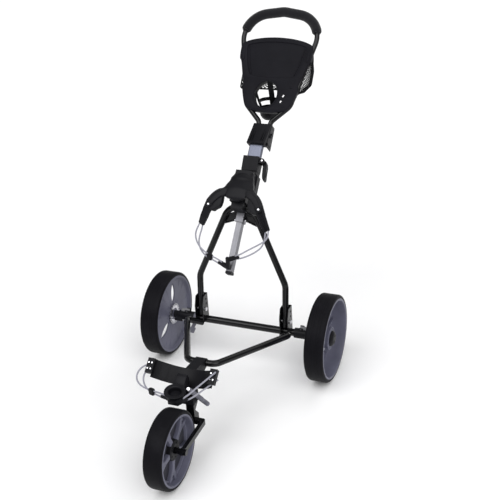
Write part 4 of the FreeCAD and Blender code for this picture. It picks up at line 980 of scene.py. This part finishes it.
def make_cage():
    """Flat staves from a ring behind the oval hole down to a shallow basket."""
    lean = FLAT.inverted() @ HANDLE
    upright = lean.inverted()
    top = lean @ Vector((CUP_X, PANEL_BACK + 12, CUP_Z))
    floor = top.z - CUP_DEPTH
    bm = bmesh.new()
    wall = [(0, 0), (0, 12), (2, 18), (8, 25), (18, 30), (40, CUP_R), (42, CUP_R - 0.6),
            (42, CUP_R - 2), (18, 27.4), (9, 22.4), (4, 16), (3, 11), (3, 0)]
    add_lathe(bm, wall, steps=64, closed=False)
    stand = Matrix.Translation((top.x, top.y, floor)) @ Matrix.Rotation(math.radians(-90), 4, "Y")
    bmesh.ops.transform(bm, matrix=stand, verts=bm.verts)
    ring_y = PANEL_FRONT + 5.6
    for angle, half in CUP_STAVES:
        c, n = math.cos(math.radians(angle)), math.sin(math.radians(angle))
        high = lean @ Vector((CUP_X + (CUP_W + 1.5) * c, ring_y, CUP_Z + (CUP_H + 1.5) * n))
        low = Vector((top.x + (CUP_R - 1.6) * c, top.y + (CUP_R - 1.6) * n, floor + 38))
        middle = (high + low) / 2 + Vector((c, n, 0)) * 1.5
        flat = [(-half, -1.3), (half, -1.3), (half, 1.3), (-half, 1.3)]
        add_sweep(bm, [high, (high + middle) / 2, middle, (middle + low) / 2, low], flat,
                  Vector((-n, c, 0)))
    middle = Vector((top.x, top.y, floor + BAND_HEIGHT))
    turns = [math.radians(a) for a in range(-10, 200, 10)]
    band = [middle + Vector((CUP_R * math.cos(a), CUP_R * math.sin(a), 0)) for a in turns]
    add_sweep(bm, band, [(-6, -1.2), (6, -1.2), (6, 1.2), (-6, 1.2)], Vector((0, 0, 1)))
    bm.transform(upright)
    add_plate(bm, oval(4.5), PANEL_FRONT + 4.7, PANEL_FRONT + 7.0, 0.7, [oval(-0.6)])
    add_plate(bm, oval(3.0), PANEL_FRONT + 4.7, PANEL_BACK + 8, 0.5, [oval(0.4)])
    bm_object("cup_basket", bm, BLACK, "handle", HANDLE, 0.5, replaces=("cup_cage",),
              slot="black_plastic")
    bm = bmesh.new()
    add_rod(bm, (CUP_X - CUP_W - 1, PANEL_FRONT + 6, CUP_Z + 17),
            (CUP_X + CUP_W + 1, PANEL_FRONT + 6, CUP_Z + 19), 0.8, 10)
    bm_object("cup_line", bm, STRING, "handle", HANDLE, slot="black_plastic")


make_cage()

# (height, half width or depth) pairs down the pouch.
NET_DEPTH = [(262, 30), (236, 56), (200, 68), (165, 68), (140, 58), (112, 22)]
NET_HALF = [(270, 123), (240, 125), (200, 131), (160, 131), (130, 116), (110, 92)]
NET_TOP, NET_LOW, NET_DROP, NET_FRONT = 258.0, 141.0, 27.0, 9.5
NET_LEFT = 113.0


def net_point(u, v):
    """Place on the net's pouch: u goes round from side to side, v down from the top."""
    low = NET_LOW - NET_DROP * min(1.0, abs(2 * u - 1) * 1.6) ** 3
    z = NET_TOP + (low - NET_TOP) * v
    half = between(NET_HALF, z) - 1.5
    if u < 0.5:
        half = min(half, NET_LEFT)
    deep = between(NET_DEPTH, z) - 1.5
    a = math.pi * (u - 0.5)
    round_x = math.copysign(abs(math.sin(a)) ** 0.55, math.sin(a))
    round_y = abs(math.cos(a)) ** 0.55
    return Vector((half * round_x, NET_FRONT + (deep - NET_FRONT) * round_y, z))


def make_net():
    """Crossing strands from knot to knot, with cords round the rim and down the sides."""
    across, down, strand = 68, 22, 1.35
    bm = bmesh.new()
    knots = {(i, j): net_point(i / across, j / down)
             for i in range(across + 1) for j in range(down + 1)}
    for i in range(across):
        for j in range(down):
            ends = ((i, j), (i + 1, j + 1)) if (i + j) % 2 else ((i + 1, j), (i, j + 1))
            a, b = knots[ends[0]], knots[ends[1]]
            if (b - a).length > 1.0:
                add_rod(bm, a, b, strand, 6, tip=0.2)
    for j in (0, down):
        for i in range(across):
            a, b = knots[i, j], knots[i + 1, j]
            if (b - a).length > 0.5:
                add_rod(bm, a, b, strand * 2, 8, tip=0.2)
    for i in (0, across):
        for j in range(down):
            add_rod(bm, knots[i, j], knots[i, j + 1], strand * 1.8, 8, tip=0.2)
    bm_object("net_pouch", bm, STRING, "handle", HANDLE, replaces=("mesh_net",), slot="net")


make_net()


# ---------------------------------------------------------------- lower cradle
BAND_CENTRE_Y, BAND_R, BAND_WALL = -189.0, 120.0, 5.0
BAND_LOW, BAND_TOP, BAND_END_Y = -97.0, -42.0, -115.0
BAND_RIBS, BAND_BLOCKS, BAND_STEPS = (22, 30, 38, 46), 34, 48


def make_cradle():
    """Curved band with beads along both edges, ribs behind it and a block on each side."""
    centre, radius, thick = Vector((0, BAND_CENTRE_Y, 0)), BAND_R, BAND_WALL
    low, top, steps = BAND_LOW, BAND_TOP, BAND_STEPS
    limit = math.acos((BAND_END_Y - BAND_CENTRE_Y) / radius)
    bm = bmesh.new()
    bead = thick + 2.5
    section = [(0.4, low + 0.6), (0.4, top - 0.6), (1.0, top), (thick - 0.6, top),
               (thick, top - 0.6), (thick, top - 8), (bead, top - 9), (bead, top - 11),
               (thick, top - 12), (thick, low + 12), (bead, low + 11), (bead, low + 9),
               (thick, low + 8), (thick, low + 0.6), (thick - 0.6, low), (1.0, low)]
    rings = []
    for i in range(steps + 1):
        a = -limit + 2 * limit * i / steps
        out = Vector((math.sin(a), math.cos(a), 0))
        rings.append([bm.verts.new(centre + out * (radius + r) + Vector((0, 0, z)))
                      for r, z in section])
    join_rings(bm, rings)
    for degrees in [-a for a in reversed(BAND_RIBS)] + list(BAND_RIBS):
        a = math.radians(degrees)
        spin = Matrix.Translation(centre) @ Matrix.Rotation(-a, 4, "Z")
        add_box(bm, -1.4, 1.4, radius + thick - 1, radius + thick + 6, low + 2, top - 2, spin)
    for degrees in (-BAND_BLOCKS, BAND_BLOCKS):
        spin = Matrix.Translation(centre) @ Matrix.Rotation(-math.radians(degrees), 4, "Z")
        add_box(bm, -13, 13, radius - 1.8, radius + 0.8, low + 5, top - 5, spin)
        add_box(bm, -9, 9, radius - 2.6, radius - 1, low + 10, top - 10, spin)
    bm_object("cradle_band", bm, BLACK, "front_assembly", CRADLE, 0.7, replaces=("lower_cradle",),
              slot="black_plastic")


make_cradle()


REST_Y, REST_Z, REST_TILT = -527.0, 224.0, 14.0


def ellipse(wide, deep, steps=56):
    return [(wide * math.cos(2 * math.pi * i / steps), deep * math.sin(2 * math.pi * i / steps))
            for i in range(steps)]


def make_rest():
    """Bag rest: an oval cup with a rolled rim on a tapered stalk in front of the head."""
    lie = Matrix.Rotation(math.radians(-90), 4, "X")
    tilt = Matrix.Rotation(math.radians(REST_TILT), 4, "X")
    stand = Matrix.Translation((0, REST_Y, REST_Z)) @ tilt
    bm = bmesh.new()
    add_plate(bm, ellipse(31, 27), -12, 12, 5.0, [ellipse(20, 16)], at=stand @ lie)
    add_plate(bm, ellipse(24, 20), 4, 10, 1.5, at=stand @ lie)
    add_plate(bm, ellipse(32.5, 28.5), -13.5, -8.5, 2.0, [ellipse(26, 22)], at=stand @ lie)
    stalk = rounded_outline([(-510, 190), (-505, 236), (-472, 262), (-462, 240), (-470, 182)], 2)
    side_plate(bm, stalk, -17, 17, 3.0)
    side_plate(bm, rounded_outline([(-514, 200), (-510, 222), (-490, 228), (-490, 196)], 1),
               -22, 22, 3.0)
    bm_object("rest_cup", bm, BLACK, "front_assembly", FLAT, replaces=("bag_rest",),
              slot="black_plastic")


make_rest()


# ---------------------------------------------------------------- kept CAD pieces
def dress(material, width, *names):
    """Gives kept CAD nodes their material, softened edges and shading."""
    for name in names:
        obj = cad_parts[name]
        obj.data.materials.clear()
        obj.data.materials.append(material)
        soften(obj, width, weld=True)


dress(PAINT, 0.0, "axle_tube", "front_tube", "wishbone", "handle_tube")
dress(PAINT, 0.5, "hinge_bracket_left", "hinge_bracket_right", "front_axle")
dress(PAINT, 3.0, "front_fork")
dress(SILVER, 0.4, "upper_tube")
dress(BAR_METAL, 0.6, "column_bar", "column_sleeve")
dress(STEEL, 0.3, "brake_ring_left", "brake_ring_right")
dress(ZINC, 0.4, "stub_axles", "hinge_bolts",
      "brace_bolts", "clip_rivets", "cam_pin", "front_lever_pin", "brake_pin")
dress(BLACK, 0.8, "axle_housing_left", "axle_housing_right", "column_end_cap",
      "clamp_block", "bracket_bolts", "cradle_clips", "front_head", "upper_hooks",
      "lower_hooks")
dress(LIGHT_GREY, 0.7, "brake_pedal", "front_release_lever")
dress(NYLON, 0.4, "wheel_bushes_left", "wheel_bushes_right", "front_bushes",
      "wheel_release_left", "wheel_release_right")


# ---------------------------------------------------------------- studio
FLOOR_REACH, FLOOR_DROP = 60.0, 0.0005       # metres
WORLD_LIGHT = 0.26
LAMPS = (("key", (34, 0, -22), 1.55, 46), ("fill", (50, 0, 52), 1.45, 50),
         ("back", (38, 0, 160), 0.75, 60))   # turn in degrees, strength, spread in degrees


def make_studio():
    """Pale floor under soft lamps."""
    floor = bpy.data.meshes.new("floor")
    reach = FLOOR_REACH
    floor.from_pydata([(-reach, -reach, 0), (reach, -reach, 0), (reach, reach, 0),
                       (-reach, reach, 0)], [], [(0, 1, 2, 3)])
    s = Shader("floor_paper", Roughness=0.9, Specular_IOR_Level=0.1)
    s.colour(s.ramp(s.noise(3, 3), [(0.3, (0.93, 0.93, 0.935)), (0.7, (0.95, 0.95, 0.955))]))
    floor.materials.append(s.material)
    sheet = bpy.data.objects.new("floor", floor)
    sheet.location.z = -FLOOR_DROP
    bpy.context.scene.collection.objects.link(sheet)
    world = bpy.data.worlds.new("studio")
    world.use_nodes = True
    world.node_tree.nodes["Background"].inputs["Color"].default_value = (1.0, 1.0, 1.0, 1)
    world.node_tree.nodes["Background"].inputs["Strength"].default_value = WORLD_LIGHT
    bpy.context.scene.world = world
    for name, turn, strength, spread in LAMPS:
        light = bpy.data.lights.new(name, "SUN")
        light.energy = strength
        light.angle = math.radians(spread)
        lamp = bpy.data.objects.new(name, light)
        lamp.rotation_euler = [math.radians(a) for a in turn]
        bpy.context.scene.collection.objects.link(lamp)
    bpy.context.scene.view_settings.view_transform = "Standard"


make_studio()
